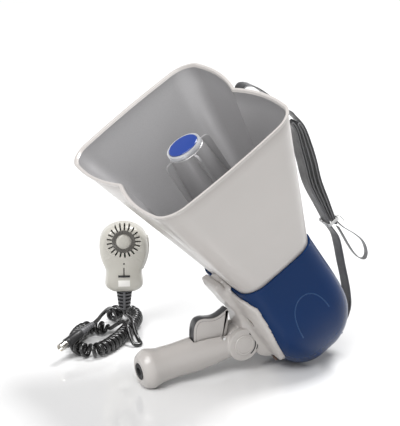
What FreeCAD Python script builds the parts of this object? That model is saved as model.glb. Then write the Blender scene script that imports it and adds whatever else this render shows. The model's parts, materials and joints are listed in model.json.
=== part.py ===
import FreeCAD, Part
import math
import os

# Handheld megaphone with a fist microphone, resting as it is set down: on the rear edge of the
# housing and the end of the grip.  All sizes are millimetres.
#
# Megaphone frame: X runs from the handle side to the strap side, Y is across, and Z runs along the
# horn from the housing's rear face to the mouth.  Grip frame: X towards the trigger, Z from the
# pivot to the butt.  Microphone frame: X to the microphone's right, -Y out of its grille, Z up.

# ---------------------------------------------------------------- driving dimensions
LEAN = 33.5                      # degrees between the horn's axis and the vertical
HORN_LENGTH = 330.0              # housing's rear face to the mouth plane
MOUTH_HALF_HEIGHT = 93.5
MOUTH_HALF_WIDTH = 133.0
MOUTH_CORNER = 32.0
CREASE_DEPTH = 9.0               # notch between the two lobes of the mouth's top and bottom edges
LOBE_RISE = 1.5
SIDE_RISE = 2.5
BELL_WALL = 2.6
RIM_HEIGHT = 4.0
RIM_PROUD = 1.2

HOUSING_HALF_HEIGHT = 54.0
HOUSING_HALF_WIDTH = 64.0
HOUSING_CORNER = 29.0
HOUSING_LENGTH = 146.0           # rear face to the lip where the bell comes out
REAR_HALF_HEIGHT = 33.5
REAR_HALF_WIDTH = 31.5
REAR_CORNER = 24.0
HOUSING_WALL = 2.6
SEAM_GAP = 0.6                   # bell to the inside of the housing's lip
NECK_DEPTH = 34.0                # how far the bell reaches into the housing
BAFFLE_THICKNESS = 4.0
LEDGE_WIDTH = 6.0
LEDGE_HEIGHT = 5.0

CUP_FRONT_SETBACK = 14.0         # mouth plane back to the reflector's badge
CUP_FRONT_RADIUS = 21.0
CUP_LENGTH = 106.0
CUP_FLARE = 5.0                  # degrees
CUP_WALL = 2.0
RIB_RADIUS = 31.5
BADGE_RADIUS = 18.0
THROAT_RADIUS = 8.0
THROAT_WALL = 2.5
THROAT_FLARE = 5.0               # growth of the throat's radius over its length
DRIVER_RADIUS = 34.0

CELL_RADIUS = 13.0
CELL_LENGTH = 49.0
TRAY_REAR = 22.0
TRAY_WALL = 1.4

PIVOT_HEIGHT = -77.2             # handle pivot, in the megaphone frame
PIVOT_STATION = 73.5
KNUCKLE_RADIUS = 19.5
TONGUE_HALF = 8.4
GRIP_HALF_WIDTH = 17.2
GRIP_HALF_DEPTH = 21.5
GRIP_LENGTH = 127.0
GRIP_WALL = 2.6
GRIP_BULGE = 1.3                 # how much deeper the butt is than the grip's middle
PIVOT_BOLT_RADIUS = 4.0
TRIGGER_HALF_WIDTH = 7.8

SADDLE_THICKNESS = 4.0
WEB_HALF_WIDTH = 17.0
STRAP_WIDTH = 22.0
STRAP_THICKNESS = 2.4
TAIL_WIDTH = 8.0
TAIL_THICKNESS = 1.2
BUNDLE_THICKNESS = 11.0

MIC_HEIGHT = 86.5
MIC_HALF_WIDTH = 29.6
MIC_FRONT_DEPTH = 15.0
MIC_REAR_DEPTH = 17.0
MIC_WALL = 2.2
MIC_TURN = -24.0                 # degrees about Z from facing -Y
RELIEF_TIP = FreeCAD.Vector(-74.0, 142.0, 28.0)
RELIEF_LENGTH = 25.0
CORD_DIAMETER = 5.0
COIL_DIAMETER = 18.5

# ---------------------------------------------------------------- clearances
RUN_GAP = 0.05                   # pin or shaft in its bore, on the radius
SEAT_GAP = 0.15                  # two pieces of one body that sit on each other
MOVE_GAP = 0.3                   # pieces of different bodies that pass each other

AXIS_X = FreeCAD.Vector(1, 0, 0)
AXIS_Y = FreeCAD.Vector(0, 1, 0)
AXIS_Z = FreeCAD.Vector(0, 0, 1)
vec = FreeCAD.Vector


# ---------------------------------------------------------------- plain shapes
def rod(radius, low, high, x=0.0, y=0.0):
    """Cylinder along Z."""
    return Part.makeCylinder(radius, high - low, vec(x, y, low))


def ring(outer, inner, low, high, x=0.0, y=0.0):
    return rod(outer, low, high, x, y).cut(rod(inner, low - 1, high + 1, x, y))


def cross_rod(radius, low, high, x, z):
    """Cylinder along Y at a given X and Z."""
    return Part.makeCylinder(radius, high - low, vec(x, low, z), AXIS_Y)


def block(x0, x1, y0, y1, z0, z1):
    return Part.makeBox(x1 - x0, y1 - y0, z1 - z0, vec(x0, y0, z0))


def slab(points, low, high):
    """Prism across Y of an outline given as (z, x) points."""
    corners = [vec(x, low, z) for z, x in points]
    face = Part.Face(Part.makePolygon(corners + corners[:1]))
    return face.extrude(vec(0, high - low, 0))


def join(shapes):
    result = shapes[0]
    for shape in shapes[1:]:
        result = result.fuse(shape)
    return result.removeSplitter()


def smooth_wire(points, closed=False):
    curve = Part.BSplineCurve()
    curve.interpolate(points, closed)
    return curve.toShape()


def ribbon(points, thickness, width, y=0.0):
    """A strip of webbing: its centre line is (z, x) points, its flat side faces across that line."""
    curve = Part.BSplineCurve()
    curve.interpolate([vec(x, 0, z) for z, x in points])
    first, last = curve.FirstParameter, curve.LastParameter
    count = 4 * len(points)
    upper, lower = [], []
    for step in range(count + 1):
        at = first + (last - first) * step / count
        side = curve.tangent(at)[0].cross(AXIS_Y).normalize() * (thickness / 2)
        upper.append(curve.value(at) + side)
        lower.append(curve.value(at) - side)
    edges = [smooth_wire(upper), Part.makeLine(upper[-1], lower[-1]),
             smooth_wire(lower[::-1]), Part.makeLine(lower[0], upper[0])]
    face = Part.Face(Part.Wire(edges))
    face.translate(vec(0, y - width / 2, 0))
    return face.extrude(vec(0, width, 0))


# ---------------------------------------------------------------- horn bell
def between(low, high, share):
    return low + (high - low) * share


def seam_half_height():
    return HOUSING_HALF_HEIGHT - 0.8 - HOUSING_WALL - SEAM_GAP


def seam_half_width():
    return HOUSING_HALF_WIDTH + 1.2 - HOUSING_WALL - SEAM_GAP


def bell_size(station, inset=0.0):
    """Half height, half width, corner radius and crease of the bell's outside at a station."""
    share = (station - HOUSING_LENGTH) / (HORN_LENGTH - HOUSING_LENGTH)
    half_height = between(seam_half_height(), MOUTH_HALF_HEIGHT, share) - inset
    half_width = between(seam_half_width(), MOUTH_HALF_WIDTH, share) - inset
    corner = between(MOUTH_CORNER * 0.75, MOUTH_CORNER, share) - inset
    bend = between(0.25, 1.0, share)
    return half_height, half_width, corner, bend


def bell_wire(station, inset=0.0):
    """Rounded rectangle whose top and bottom are two lobes with a crease between them."""
    h, w, r, bend = bell_size(station, inset)
    crease = CREASE_DEPTH * bend
    lobe = LOBE_RISE * bend
    side = SIDE_RISE * bend
    diagonal = r * (1 - math.sqrt(0.5))
    edges = []

    def at(x, y):
        return vec(x, y, station)

    def arc(a, b, c):
        edges.append(Part.Arc(at(*a), at(*b), at(*c)).toShape())

    for x, y in ((1, 1), (-1, -1)):
        arc((x * (h - crease), 0), (x * (h + lobe), y * w * 0.45), (x * h, y * (w - r)))
        arc((x * h, y * (w - r)), (x * (h - diagonal), y * (w - diagonal)), (x * (h - r), y * w))
        arc((x * (h - r), y * w), (0, y * (w + side)), (-x * (h - r), y * w))
        arc((-x * (h - r), y * w), (-x * (h - diagonal), y * (w - diagonal)), (-x * h, y * (w - r)))
        arc((-x * h, y * (w - r)), (-x * (h + lobe), y * w * 0.45), (-x * (h - crease), 0))
    return Part.Wire(edges)


def neck_station():
    return HOUSING_LENGTH - NECK_DEPTH


def bell_outside():
    stations = (neck_station(), HORN_LENGTH)
    return Part.makeLoft([bell_wire(s) for s in stations], True, True)


def horn_bell():
    stations = (neck_station() - 1, HORN_LENGTH + 1)
    inside = Part.makeLoft([bell_wire(s, BELL_WALL) for s in stations], True, True)
    rim_stations = (HORN_LENGTH - RIM_HEIGHT, HORN_LENGTH)
    rim = Part.makeLoft([bell_wire(s, -RIM_PROUD) for s in rim_stations], True, True)
    foot = rounded_prism(neck_foot_size(), neck_station(), neck_station() + 3.0)
    bell = join([bell_outside(), rim, foot]).cut(inside)
    for x, y in baffle_screw_places():
        bell = bell.cut(rod(1.6 + SEAT_GAP, neck_station() - 1, neck_station() + 4, x, y))
        bell = bell.cut(rod(3.2 + SEAT_GAP, neck_station() + 3, neck_station() + 9, x, y))
    return bell


def neck_foot_size():
    """The bell's foot flange, which its screws pass through."""
    h, w, r, bend = bell_size(neck_station())
    return h + 4.0, w + 5.0, r + 4.0


# ---------------------------------------------------------------- housing
def housing_sections(inset):
    """Stations of the housing with half height, half width and corner radius."""
    rear = max(inset, 0.0)
    return [
        (rear + min(inset, 0.0), REAR_HALF_HEIGHT - inset, REAR_HALF_WIDTH - inset, REAR_CORNER - inset),
        (6.0 + rear * 0.7, REAR_HALF_HEIGHT + 5.0 - inset, REAR_HALF_WIDTH + 6.0 - inset,
         REAR_CORNER + 2.0 - inset),
        (HOUSING_LENGTH * 0.17, HOUSING_HALF_HEIGHT - 5.5 - inset, HOUSING_HALF_WIDTH - 14.0 - inset,
         HOUSING_CORNER - inset),
        (HOUSING_LENGTH * 0.41, HOUSING_HALF_HEIGHT - inset, HOUSING_HALF_WIDTH - 2.0 - inset,
         HOUSING_CORNER + 1.0 - inset),
        (HOUSING_LENGTH * 0.75, HOUSING_HALF_HEIGHT - inset, HOUSING_HALF_WIDTH - inset,
         HOUSING_CORNER - inset),
        (HOUSING_LENGTH, HOUSING_HALF_HEIGHT - 0.8 - inset, HOUSING_HALF_WIDTH + 1.2 - inset,
         HOUSING_CORNER - 1.0 - inset),
    ]


def rounded_wire(station, h, w, r):
    corners = []
    for x, y, start in ((1, 1, 0), (-1, 1, 90), (-1, -1, 180), (1, -1, 270)):
        centre = vec(x * (h - r), y * (w - r), station)
        circle = Part.Circle(centre, AXIS_Z, r)
        corners.append(Part.ArcOfCircle(circle, math.radians(start), math.radians(start + 90)))
    edges = []
    for index, corner in enumerate(corners):
        following = corners[(index + 1) % 4]
        edges.append(corner.toShape())
        edges.append(Part.makeLine(corner.EndPoint, following.StartPoint))
    return Part.Wire(edges)


def rounded_prism(size, low, high):
    return Part.Face(rounded_wire(low, *size)).extrude(vec(0, 0, high - low))


def housing_form(inset, beyond=0.0):
    """Solid inside the housing's surface moved in by the inset, closed a little beyond the lip if asked."""
    sections = housing_sections(inset)
    station, h, w, r = sections[-1]
    sections.append((station + 6.0, h, w, r))
    form = Part.makeLoft([rounded_wire(*section) for section in sections], True, False)
    return form.common(block(-200, 200, -200, 200, -50, HOUSING_LENGTH + beyond))


def mid_size(inset):
    """The housing's cross-section where the baffle sits."""
    return HOUSING_HALF_HEIGHT - inset, HOUSING_HALF_WIDTH - inset, HOUSING_CORNER - inset


def ledge_station():
    return neck_station() - BAFFLE_THICKNESS


# ---- the panel with the knob, the mode switch and the socket is on the +Y side
PANEL_HALF_LENGTH = 28.0
PANEL_REAR = 75.0
PANEL_FRONT = 103.0
PANEL_THICKNESS = 3.0
PANEL_PROUD = 1.5
CONTROL_STATION = (PANEL_REAR + PANEL_FRONT) / 2
KNOB_X = -16.0
SOCKET_X = 15.5
SHAFT_RADIUS = 3.0
SOCKET_BORE = 6.0
SOCKET_LENGTH = 10.0
SLIDER_HALF_SLOT = 6.0


def panel_face():
    return HOUSING_HALF_WIDTH + PANEL_PROUD


# ---- the battery door is a patch of the +Y wall, hinged along its front edge
DOOR_HALF = 28.0
DOOR_FRONT = 71.7
DOOR_REAR = 16.0
HINGE_STATION = DOOR_FRONT + 0.15
HINGE_RADIUS = 2.8
HINGE_PIN_RADIUS = 1.2
KNUCKLE_HALF = 6.0
EAR_REACH = 12.0
LOCK_STATION = 27.0
LOCK_RADIUS = 6.0
LOCK_SEAT = 3.4                  # wall's outside down to the lock's cam


def hinge_height():
    return HOUSING_HALF_WIDTH - 0.6


def door_zone(gap):
    """Wedge that cuts the door's outline; its rear face leans so that the door swings out freely."""
    rear_low = DOOR_REAR + 7.5 + gap
    rear_high = DOOR_REAR - 37.5 + gap
    front = DOOR_FRONT - gap
    points = [vec(0, 30, rear_low), vec(0, 90, rear_high), vec(0, 90, front), vec(0, 30, front)]
    face = Part.Face(Part.makePolygon(points + points[:1]))
    half = DOOR_HALF - gap
    face.translate(vec(-half, 0, 0))
    return face.extrude(vec(2 * half, 0, 0))


def hinge_barrel(radius, low, high):
    return Part.makeCylinder(radius, high - low, vec(low, hinge_height(), HINGE_STATION), AXIS_X)


def lock_axis():
    """Centre of the coin lock on the door, and the direction square to the wall there."""
    return vec(0, HOUSING_HALF_WIDTH - 13.0, LOCK_STATION), vec(0, 0.86, -0.51)


def saddle_screw_places():
    return [(34.0, 22.0), (34.0, -22.0), (101.0, 33.0), (101.0, -33.0)]


def rear_housing():
    shell = housing_form(0.0).cut(housing_form(HOUSING_WALL, 2.0))
    ledge = housing_form(HOUSING_WALL / 2).common(
        block(-90, 90, -90, 90, ledge_station() - LEDGE_HEIGHT, ledge_station()))
    h, w, r = mid_size(LEDGE_WIDTH)
    ledge = ledge.cut(rounded_prism((h, w, r), ledge_station() - 20, ledge_station() + 1))
    pad = block(-PANEL_HALF_LENGTH - 3, PANEL_HALF_LENGTH + 3, HOUSING_HALF_WIDTH - 7.0,
                HOUSING_HALF_WIDTH + 5.0, PANEL_REAR - 3, ledge_station() - 1).common(housing_form(0.0))
    bosses = []
    for station, y in saddle_screw_places():
        bosses.append(Part.makeCylinder(5.0, 9.0, vec(-HOUSING_HALF_HEIGHT + 2.0, y, station), AXIS_X))
    bosses = [boss.common(housing_form(HOUSING_WALL / 2)) for boss in bosses]
    lug = rear_lug()
    body = join([shell, ledge, pad, lug] + bosses)
    pocket = block(-PANEL_HALF_LENGTH - SEAT_GAP, PANEL_HALF_LENGTH + SEAT_GAP,
                   panel_face() - PANEL_THICKNESS, panel_face() + 10,
                   PANEL_REAR - SEAT_GAP, PANEL_FRONT + SEAT_GAP)
    body = body.cut(pocket)
    body = body.cut(cross_rod(SHAFT_RADIUS + RUN_GAP, 40, 90, KNOB_X, CONTROL_STATION))
    body = body.cut(cross_rod(SOCKET_BORE + 2.0 + SEAT_GAP, 40, 90, SOCKET_X, CONTROL_STATION))
    slot = block(-2.5, 2.5, 40, 90, CONTROL_STATION - SLIDER_HALF_SLOT, CONTROL_STATION + SLIDER_HALF_SLOT)
    body = body.cut(slot)
    body = body.cut(door_zone(0.0))
    for side in (-1, 1):
        low, high = sorted((side * (KNUCKLE_HALF + MOVE_GAP), side * EAR_REACH))
        body = body.fuse(hinge_barrel(HINGE_RADIUS, low, high))
    body = body.cut(hinge_barrel(HINGE_RADIUS + MOVE_GAP + 0.2, -KNUCKLE_HALF - MOVE_GAP,
                                 KNUCKLE_HALF + MOVE_GAP))
    body = body.cut(hinge_barrel(HINGE_PIN_RADIUS + RUN_GAP, -EAR_REACH - 1, EAR_REACH + 1))
    for station, y in saddle_screw_places():
        body = body.cut(Part.makeCylinder(1.8 + SEAT_GAP, 16.0,
                                          vec(-HOUSING_HALF_HEIGHT - 4, y, station), AXIS_X))
    return body


def rear_lug():
    """Loop on the rear face that the strap's lower end passes through."""
    outer = block(16, 30, -STRAP_WIDTH / 2 - 3, STRAP_WIDTH / 2 + 3, -10.0, 0.5)
    slot = block(10, 36, -STRAP_WIDTH / 2 - 0.6, STRAP_WIDTH / 2 + 0.6, -6.7, -2.9)
    return outer.cut(slot)


def battery_door():
    shell = housing_form(0.0).cut(housing_form(HOUSING_WALL, 2.0))
    door = shell.common(door_zone(MOVE_GAP))
    door = door.fuse(hinge_barrel(HINGE_RADIUS, -KNUCKLE_HALF, KNUCKLE_HALF))
    for side in (-1, 1):
        low, high = sorted((side * KNUCKLE_HALF, side * (EAR_REACH + MOVE_GAP)))
        door = door.cut(hinge_barrel(HINGE_RADIUS + MOVE_GAP + 0.2, low, high))
    door = door.cut(hinge_barrel(HINGE_PIN_RADIUS + RUN_GAP, -EAR_REACH - 1, EAR_REACH + 1))
    centre, out = lock_axis()
    door = door.cut(Part.makeCylinder(LOCK_RADIUS + RUN_GAP, 40, centre - out * 20, out))
    return max(door.Solids, key=lambda solid: solid.Volume)


def door_lock():
    """Quarter-turn coin lock; its cam lies along the door while it is unlocked."""
    centre, out = lock_axis()
    disc = Part.makeCylinder(LOCK_RADIUS, LOCK_SEAT + 1.5, centre - out * LOCK_SEAT, out)
    slot = Part.makeBox(9.0, 1.6, 1.6)
    slot.translate(vec(-4.5, -0.8, 0))
    slot.Placement = FreeCAD.Placement(centre + out * 0.2, FreeCAD.Rotation(AXIS_Z, out)).multiply(slot.Placement)
    cam = Part.makeBox(15.0, 7.0, 2.0)
    cam.translate(vec(-4.0, -3.5, -2.0))
    under_wall = FreeCAD.Placement(centre - out * LOCK_SEAT, FreeCAD.Rotation(AXIS_Z, out))
    cam.Placement = under_wall.multiply(cam.Placement)
    return join([disc, cam]).cut(slot)


def door_hinge_pin():
    return hinge_barrel(HINGE_PIN_RADIUS, -EAR_REACH, EAR_REACH)


def seam_gasket():
    low, high = HOUSING_LENGTH - 6.0, HOUSING_LENGTH - 1.0
    outer = housing_form(HOUSING_WALL + 0.05, 2.0).common(block(-90, 90, -90, 90, low, high))
    inner = Part.makeLoft([bell_wire(s, -0.05) for s in (neck_station(), HORN_LENGTH)], True, True)
    return outer.cut(inner)


# ---------------------------------------------------------------- sound unit
def baffle_plate():
    size = mid_size(0.0)
    plate = rounded_prism(size, ledge_station(), neck_station()).common(housing_form(HOUSING_WALL + 0.3))
    plate = plate.cut(rod(THROAT_RADIUS, 0, HORN_LENGTH))
    for x, y in baffle_screw_places():
        plate = plate.cut(rod(1.6 + SEAT_GAP, 0, HORN_LENGTH, x, y))
    return plate


def baffle_screw_places():
    h, w, r, bend = bell_size(neck_station())
    return [(x * (h - r * 0.2), y * (w - r * 0.2)) for x in (-1, 1) for y in (-1, 1)]


def throat_tube():
    low = neck_station()
    high = HORN_LENGTH - CUP_FRONT_SETBACK - 22.0
    outer = Part.makeCone(THROAT_RADIUS + THROAT_WALL, THROAT_RADIUS + THROAT_FLARE + THROAT_WALL,
                          high - low, vec(0, 0, low))
    inner = Part.makeCone(THROAT_RADIUS, THROAT_RADIUS + THROAT_FLARE, high - low, vec(0, 0, low))
    return join([outer, rod(26.0, low, low + 3.0)]).cut(inner)


def cup_front():
    return HORN_LENGTH - CUP_FRONT_SETBACK


def cup_radius(depth):
    return CUP_FRONT_RADIUS + depth * math.tan(math.radians(CUP_FLARE))


def reflector_cup():
    front = cup_front()
    back = front - CUP_LENGTH
    grown = cup_radius(CUP_LENGTH)
    outer = Part.makeCone(grown, CUP_FRONT_RADIUS, CUP_LENGTH, vec(0, 0, back))
    ribs = []
    for angle in (0, 90):
        rib = block(-RIB_RADIUS, RIB_RADIUS, -1.5, 1.5, front - 78.0, front - 7.0)
        rib.rotate(vec(), AXIS_Z, angle)
        ribs.append(rib)
    inner = Part.makeCone(grown - CUP_WALL, CUP_FRONT_RADIUS - CUP_WALL, CUP_LENGTH - 4.0, vec(0, 0, back))
    shell = join([outer] + ribs).cut(inner)
    shell = shell.cut(rod(BADGE_RADIUS + SEAT_GAP, front - 1.0, front + 5))
    spokes = []
    low = back + 2.0
    for angle in (45, 135, 225, 315):
        reach = cup_radius(front - low) - CUP_WALL / 2
        spoke = block(0, reach, -1.25, 1.25, low, low + 22.0)
        spoke.rotate(vec(), AXIS_Z, angle)
        spokes.append(spoke)
    tube_low = neck_station()
    tube_high = cup_front() - 22.0
    tube = Part.makeCone(THROAT_RADIUS + THROAT_WALL + SEAT_GAP,
                         THROAT_RADIUS + THROAT_FLARE + THROAT_WALL + SEAT_GAP,
                         tube_high - tube_low, vec(0, 0, tube_low))
    return join([shell] + spokes).cut(tube)


def badge_disc():
    return rod(BADGE_RADIUS, cup_front() - 1.0, cup_front() + 0.8)


def driver_frame():
    top = ledge_station()
    body = join([rod(DRIVER_RADIUS + 4.0, top - 3.0, top), rod(DRIVER_RADIUS, top - 9.0, top)])
    return body.cut(rod(THROAT_RADIUS, top - 4.0, top + 1)).cut(rod(22.0, top - 10.0, top - 4.0))


def driver_diaphragm():
    rest = ledge_station() - 8.9
    surround = ring(21.5, 12.6, rest, rest + 0.8)
    drop = math.sqrt(22.0 ** 2 - 13.0 ** 2)
    dome = Part.makeSphere(22.0, vec(0, 0, rest - drop)).cut(Part.makeSphere(21.3, vec(0, 0, rest - drop)))
    return join([surround, dome.common(rod(14.0, rest, rest + 10.0))])


def driver_magnet():
    top = ledge_station() - 13.0
    return ring(DRIVER_RADIUS - 2.0, 15.0, top - 10.0, top)


def driver_top_plate():
    top = ledge_station() - 9.0
    return ring(DRIVER_RADIUS, 13.6, top - 4.0, top)


def driver_back_plate():
    top = ledge_station() - 23.0
    return join([rod(DRIVER_RADIUS - 1.0, top - 4.0, top), rod(12.6, top - 1.0, top + 13.5)])


def baffle_screws():
    screws = []
    top = neck_station() + 3.0
    for x, y in baffle_screw_places():
        screws.append(join([rod(1.6, top - 9.0, top + 0.5, x, y), rod(3.2, top, top + 2.0, x, y)]))
    return Part.makeCompound(screws)


# ---------------------------------------------------------------- controls
def control_panel():
    face = panel_face()
    panel = block(-PANEL_HALF_LENGTH, PANEL_HALF_LENGTH, face - PANEL_THICKNESS, face, PANEL_REAR, PANEL_FRONT)
    upright = [edge for edge in panel.Edges if abs(edge.tangentAt(edge.FirstParameter).y) > 0.9]
    panel = panel.makeFillet(5.0, upright)
    panel = panel.cut(cross_rod(SHAFT_RADIUS + RUN_GAP, 40, 90, KNOB_X, CONTROL_STATION))
    panel = panel.cut(cross_rod(SOCKET_BORE + 2.0 + SEAT_GAP, 40, 90, SOCKET_X, CONTROL_STATION))
    panel = panel.cut(cross_rod(1.5 + SEAT_GAP, 40, 90, 1.0, PANEL_FRONT - 4.0))
    slot = block(-2.5, 2.5, 40, 90, CONTROL_STATION - SLIDER_HALF_SLOT, CONTROL_STATION + SLIDER_HALF_SLOT)
    return panel.cut(slot)


def volume_knob():
    face = panel_face()
    knob = cross_rod(9.0, face + MOVE_GAP, face + 11.0, KNOB_X, CONTROL_STATION)
    top = [edge for edge in knob.Edges if edge.BoundBox.YMin > face + 10.9]
    knob = knob.makeChamfer(1.2, top)
    for index in range(12):
        angle = math.radians(30 * index)
        groove = cross_rod(1.0, face, face + 12, KNOB_X + 9.3 * math.cos(angle),
                           CONTROL_STATION + 9.3 * math.sin(angle))
        knob = knob.cut(groove)
    line = block(KNOB_X - 0.6, KNOB_X + 0.6, face + 10.2, face + 12, CONTROL_STATION, CONTROL_STATION + 10)
    shaft = cross_rod(SHAFT_RADIUS, face - 14.0, face + 4.0, KNOB_X, CONTROL_STATION)
    return join([knob.cut(line), shaft])


def volume_pot():
    face = panel_face()
    can = cross_rod(8.0, face - 18.0, face - 9.0, KNOB_X, CONTROL_STATION)
    return can.cut(cross_rod(SHAFT_RADIUS + RUN_GAP, face - 14.5, face, KNOB_X, CONTROL_STATION))


def mode_slider():
    face = panel_face()
    travel = 3.0
    low = CONTROL_STATION - SLIDER_HALF_SLOT + MOVE_GAP
    high = CONTROL_STATION + SLIDER_HALF_SLOT - MOVE_GAP - 2 * travel
    stem = block(-2.2, 2.2, face - 8.0, face + 2.5, low, high)
    return stem


def mic_socket():
    face = panel_face()
    body = cross_rod(SOCKET_BORE + 2.0, face - SOCKET_LENGTH - 2.0, face + 1.5, SOCKET_X, CONTROL_STATION)
    flange = cross_rod(SOCKET_BORE + 3.4, face, face + 1.5, SOCKET_X, CONTROL_STATION)
    bore = cross_rod(SOCKET_BORE, face + 1.5 - SOCKET_LENGTH - SEAT_GAP, face + 5, SOCKET_X, CONTROL_STATION)
    return join([body, flange]).cut(bore)


def power_led():
    face = panel_face()
    return join([cross_rod(1.5, face - 2.9, face + 0.5, 1.0, PANEL_FRONT - 4.0),
                 Part.makeSphere(1.5, vec(1.0, face + 0.5, PANEL_FRONT - 4.0))])


def amplifier_board():
    face = panel_face()
    board = block(-30, 30, face - 20.2, face - 18.6, PANEL_REAR + 2, PANEL_FRONT - 2)
    parts = [block(-26, -14, face - 24.2, face - 20.2, 80, 98), block(8, 20, face - 26.2, face - 20.2, 80, 92)]
    posts = [cross_rod(2.0, face - 18.6, face - PANEL_PROUD - 7.05, x, CONTROL_STATION) for x in (-28.0, 28.0)]
    return join([board] + parts + posts)


# ---------------------------------------------------------------- batteries
def cell_places():
    pitch = 2 * CELL_RADIUS + 0.4
    return [(x * pitch / 2, y * pitch) for x in (-1, 1) for y in (-1, 0, 1)]


def battery_tray():
    reach = 2 * CELL_RADIUS + 0.4
    low = TRAY_REAR
    high = TRAY_REAR + CELL_LENGTH + 3.0
    size = (reach + TRAY_WALL, 1.5 * reach + TRAY_WALL, CELL_RADIUS + TRAY_WALL)
    tray = rounded_prism(size, low, high)
    for x, y in cell_places():
        tray = tray.cut(rod(CELL_RADIUS + 0.12, low - 1, high - 1.6, x, y))
    feet = []
    for side in (-1, 1):
        foot = block(-4, 4, -12, 12, low + 8, high - 6)
        foot.translate(vec(side * (reach + TRAY_WALL + 3.0), 0, 0))
        feet.append(foot)
        strut = block(-HOUSING_HALF_HEIGHT, -reach, side * 18 - 2, side * 18 + 2, 52, high - 2)
        feet.append(strut)
        other = block(reach, HOUSING_HALF_HEIGHT, side * 18 - 2, side * 18 + 2, 52, high - 2)
        feet.append(other)
    carried = join([tray] + feet[1:3] + feet[4:])
    return carried.common(housing_form(HOUSING_WALL + SEAT_GAP))


def battery_cells():
    low = TRAY_REAR + 0.8
    cells = []
    for x, y in cell_places():
        cells.append(join([rod(CELL_RADIUS, low, low + CELL_LENGTH - 1.6, x, y),
                           rod(3.0, low, low + CELL_LENGTH - 0.4, x, y)]))
    return Part.makeCompound(cells)


def battery_contacts():
    high = TRAY_REAR + CELL_LENGTH + 3.0 - 1.6
    return Part.makeCompound([rod(6.0, high - 0.8, high, x, y) for x, y in cell_places()])


# ---------------------------------------------------------------- handle saddle
def in_grip(shape):
    """Place a shape of the grip frame in the megaphone frame."""
    turn = FreeCAD.Rotation(AXIS_Y, -(90.0 - grip_forward()))
    placed = shape.copy()
    placed.Placement = FreeCAD.Placement(vec(PIVOT_HEIGHT, 0, PIVOT_STATION), turn).multiply(placed.Placement)
    return placed


GRIP_START = 10.0
HOLLOW_START = 26.0
BUTT_STATION = GRIP_LENGTH - 14.0
BUTT_ROUND = 8.0


def floor_drop():
    """Height of the megaphone frame's origin above the floor."""
    turned = housing_form(0.0)
    turned.rotate(vec(), AXIS_Y, -LEAN)
    return -turned.optimalBoundingBox(False).ZMin


def pivot_above_floor(drop):
    lean = math.radians(LEAN)
    return drop + PIVOT_STATION * math.cos(lean) + PIVOT_HEIGHT * math.sin(lean)


def grip_forward():
    """Angle of the grip ahead of square to the horn, so that its butt just meets the floor."""
    reach = pivot_above_floor(FLOOR_DROP) - GRIP_HALF_DEPTH - GRIP_BULGE
    dip = math.degrees(math.asin(reach / BUTT_STATION))
    return LEAN - dip


FLOOR_DROP = floor_drop()


def saddle():
    skin = housing_form(-SEAT_GAP - SADDLE_THICKNESS).cut(housing_form(-SEAT_GAP, 2.0))
    outline = [(26, 0), (26, 12), (31, 30), (40, 41), (69, 50), (101, 54), (124, 55), (137, 47), (143, 30), (143, 0)]
    mirrored = [(s, -y) for s, y in outline[-2:0:-1]]
    points = [vec(-90, y, s) for s, y in outline + mirrored]
    prism = Part.Face(Part.makePolygon(points + points[:1])).extrude(vec(60, 0, 0))
    flange = skin.common(prism)
    base = -HOUSING_HALF_HEIGHT - SEAT_GAP
    low = base - SADDLE_THICKNESS + 1.0
    web = slab([(36, low), (116, low), (101, PIVOT_HEIGHT + 14.7), (91, PIVOT_HEIGHT + 9.8),
                (54.5, PIVOT_HEIGHT + 7.2), (46, PIVOT_HEIGHT + 9.2), (40, PIVOT_HEIGHT + 14.2)],
               -WEB_HALF_WIDTH, WEB_HALF_WIDTH)
    nose = slab([(112, low), (147, low), (172, low - 2.4), (174, low - 4.5), (166, low - 8.0),
                 (150, low - 10.5), (126, low - 7.5), (112, low - 1.5)], -18, 18)
    nose = nose.cut(Part.makeLoft([bell_wire(s, -0.8) for s in (neck_station(), HORN_LENGTH)], True, True))
    upper = join([flange, web, nose])
    upper = upper.cut(cross_rod(KNUCKLE_RADIUS + 0.7, -40, 40, PIVOT_HEIGHT, PIVOT_STATION))
    neck = slab([(59, low), (89, low), (88, PIVOT_HEIGHT), (59, PIVOT_HEIGHT)], -TONGUE_HALF, TONGUE_HALF)
    tongue = cross_rod(KNUCKLE_RADIUS - 0.5, -TONGUE_HALF, TONGUE_HALF, PIVOT_HEIGHT, PIVOT_STATION)
    body = join([upper, neck, tongue])
    body = body.cut(cross_rod(PIVOT_BOLT_RADIUS + SEAT_GAP, -40, 40, PIVOT_HEIGHT, PIVOT_STATION))
    for station, y in saddle_screw_places():
        hole = Part.makeCylinder(1.8 + SEAT_GAP, 30.0, vec(base - 20, y, station), AXIS_X)
        recess = Part.makeCylinder(4.4, 30.0, vec(screw_seat() - 30, y, station), AXIS_X)
        body = body.cut(hole).cut(recess)
    return body.cut(housing_form(-SEAT_GAP, 2.0))


def screw_seat():
    """Where the saddle screws' heads sit in the flange."""
    return -HOUSING_HALF_HEIGHT - SEAT_GAP - 1.6


def saddle_screws():
    screws = []
    for station, y in saddle_screw_places():
        seat = screw_seat()
        head = Part.makeCylinder(3.6, 2.0, vec(seat - 2.0, y, station), AXIS_X)
        shank = Part.makeCylinder(1.8, 9.5, vec(seat - 0.5, y, station), AXIS_X)
        drive = block(seat - 2.5, seat - 1.2, y - 2.6, y + 2.6, station - 0.5, station + 0.5)
        cross = block(seat - 2.5, seat - 1.2, y - 0.5, y + 0.5, station - 2.6, station + 2.6)
        screws.append(join([head, shank]).cut(drive).cut(cross))
    return Part.makeCompound(screws)


# ---------------------------------------------------------------- pivot (megaphone frame)
CHEEK_INNER = TONGUE_HALF + 0.9
CHEEK_OUTER = 18.5
HEAD_SEAT = 13.5


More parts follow.
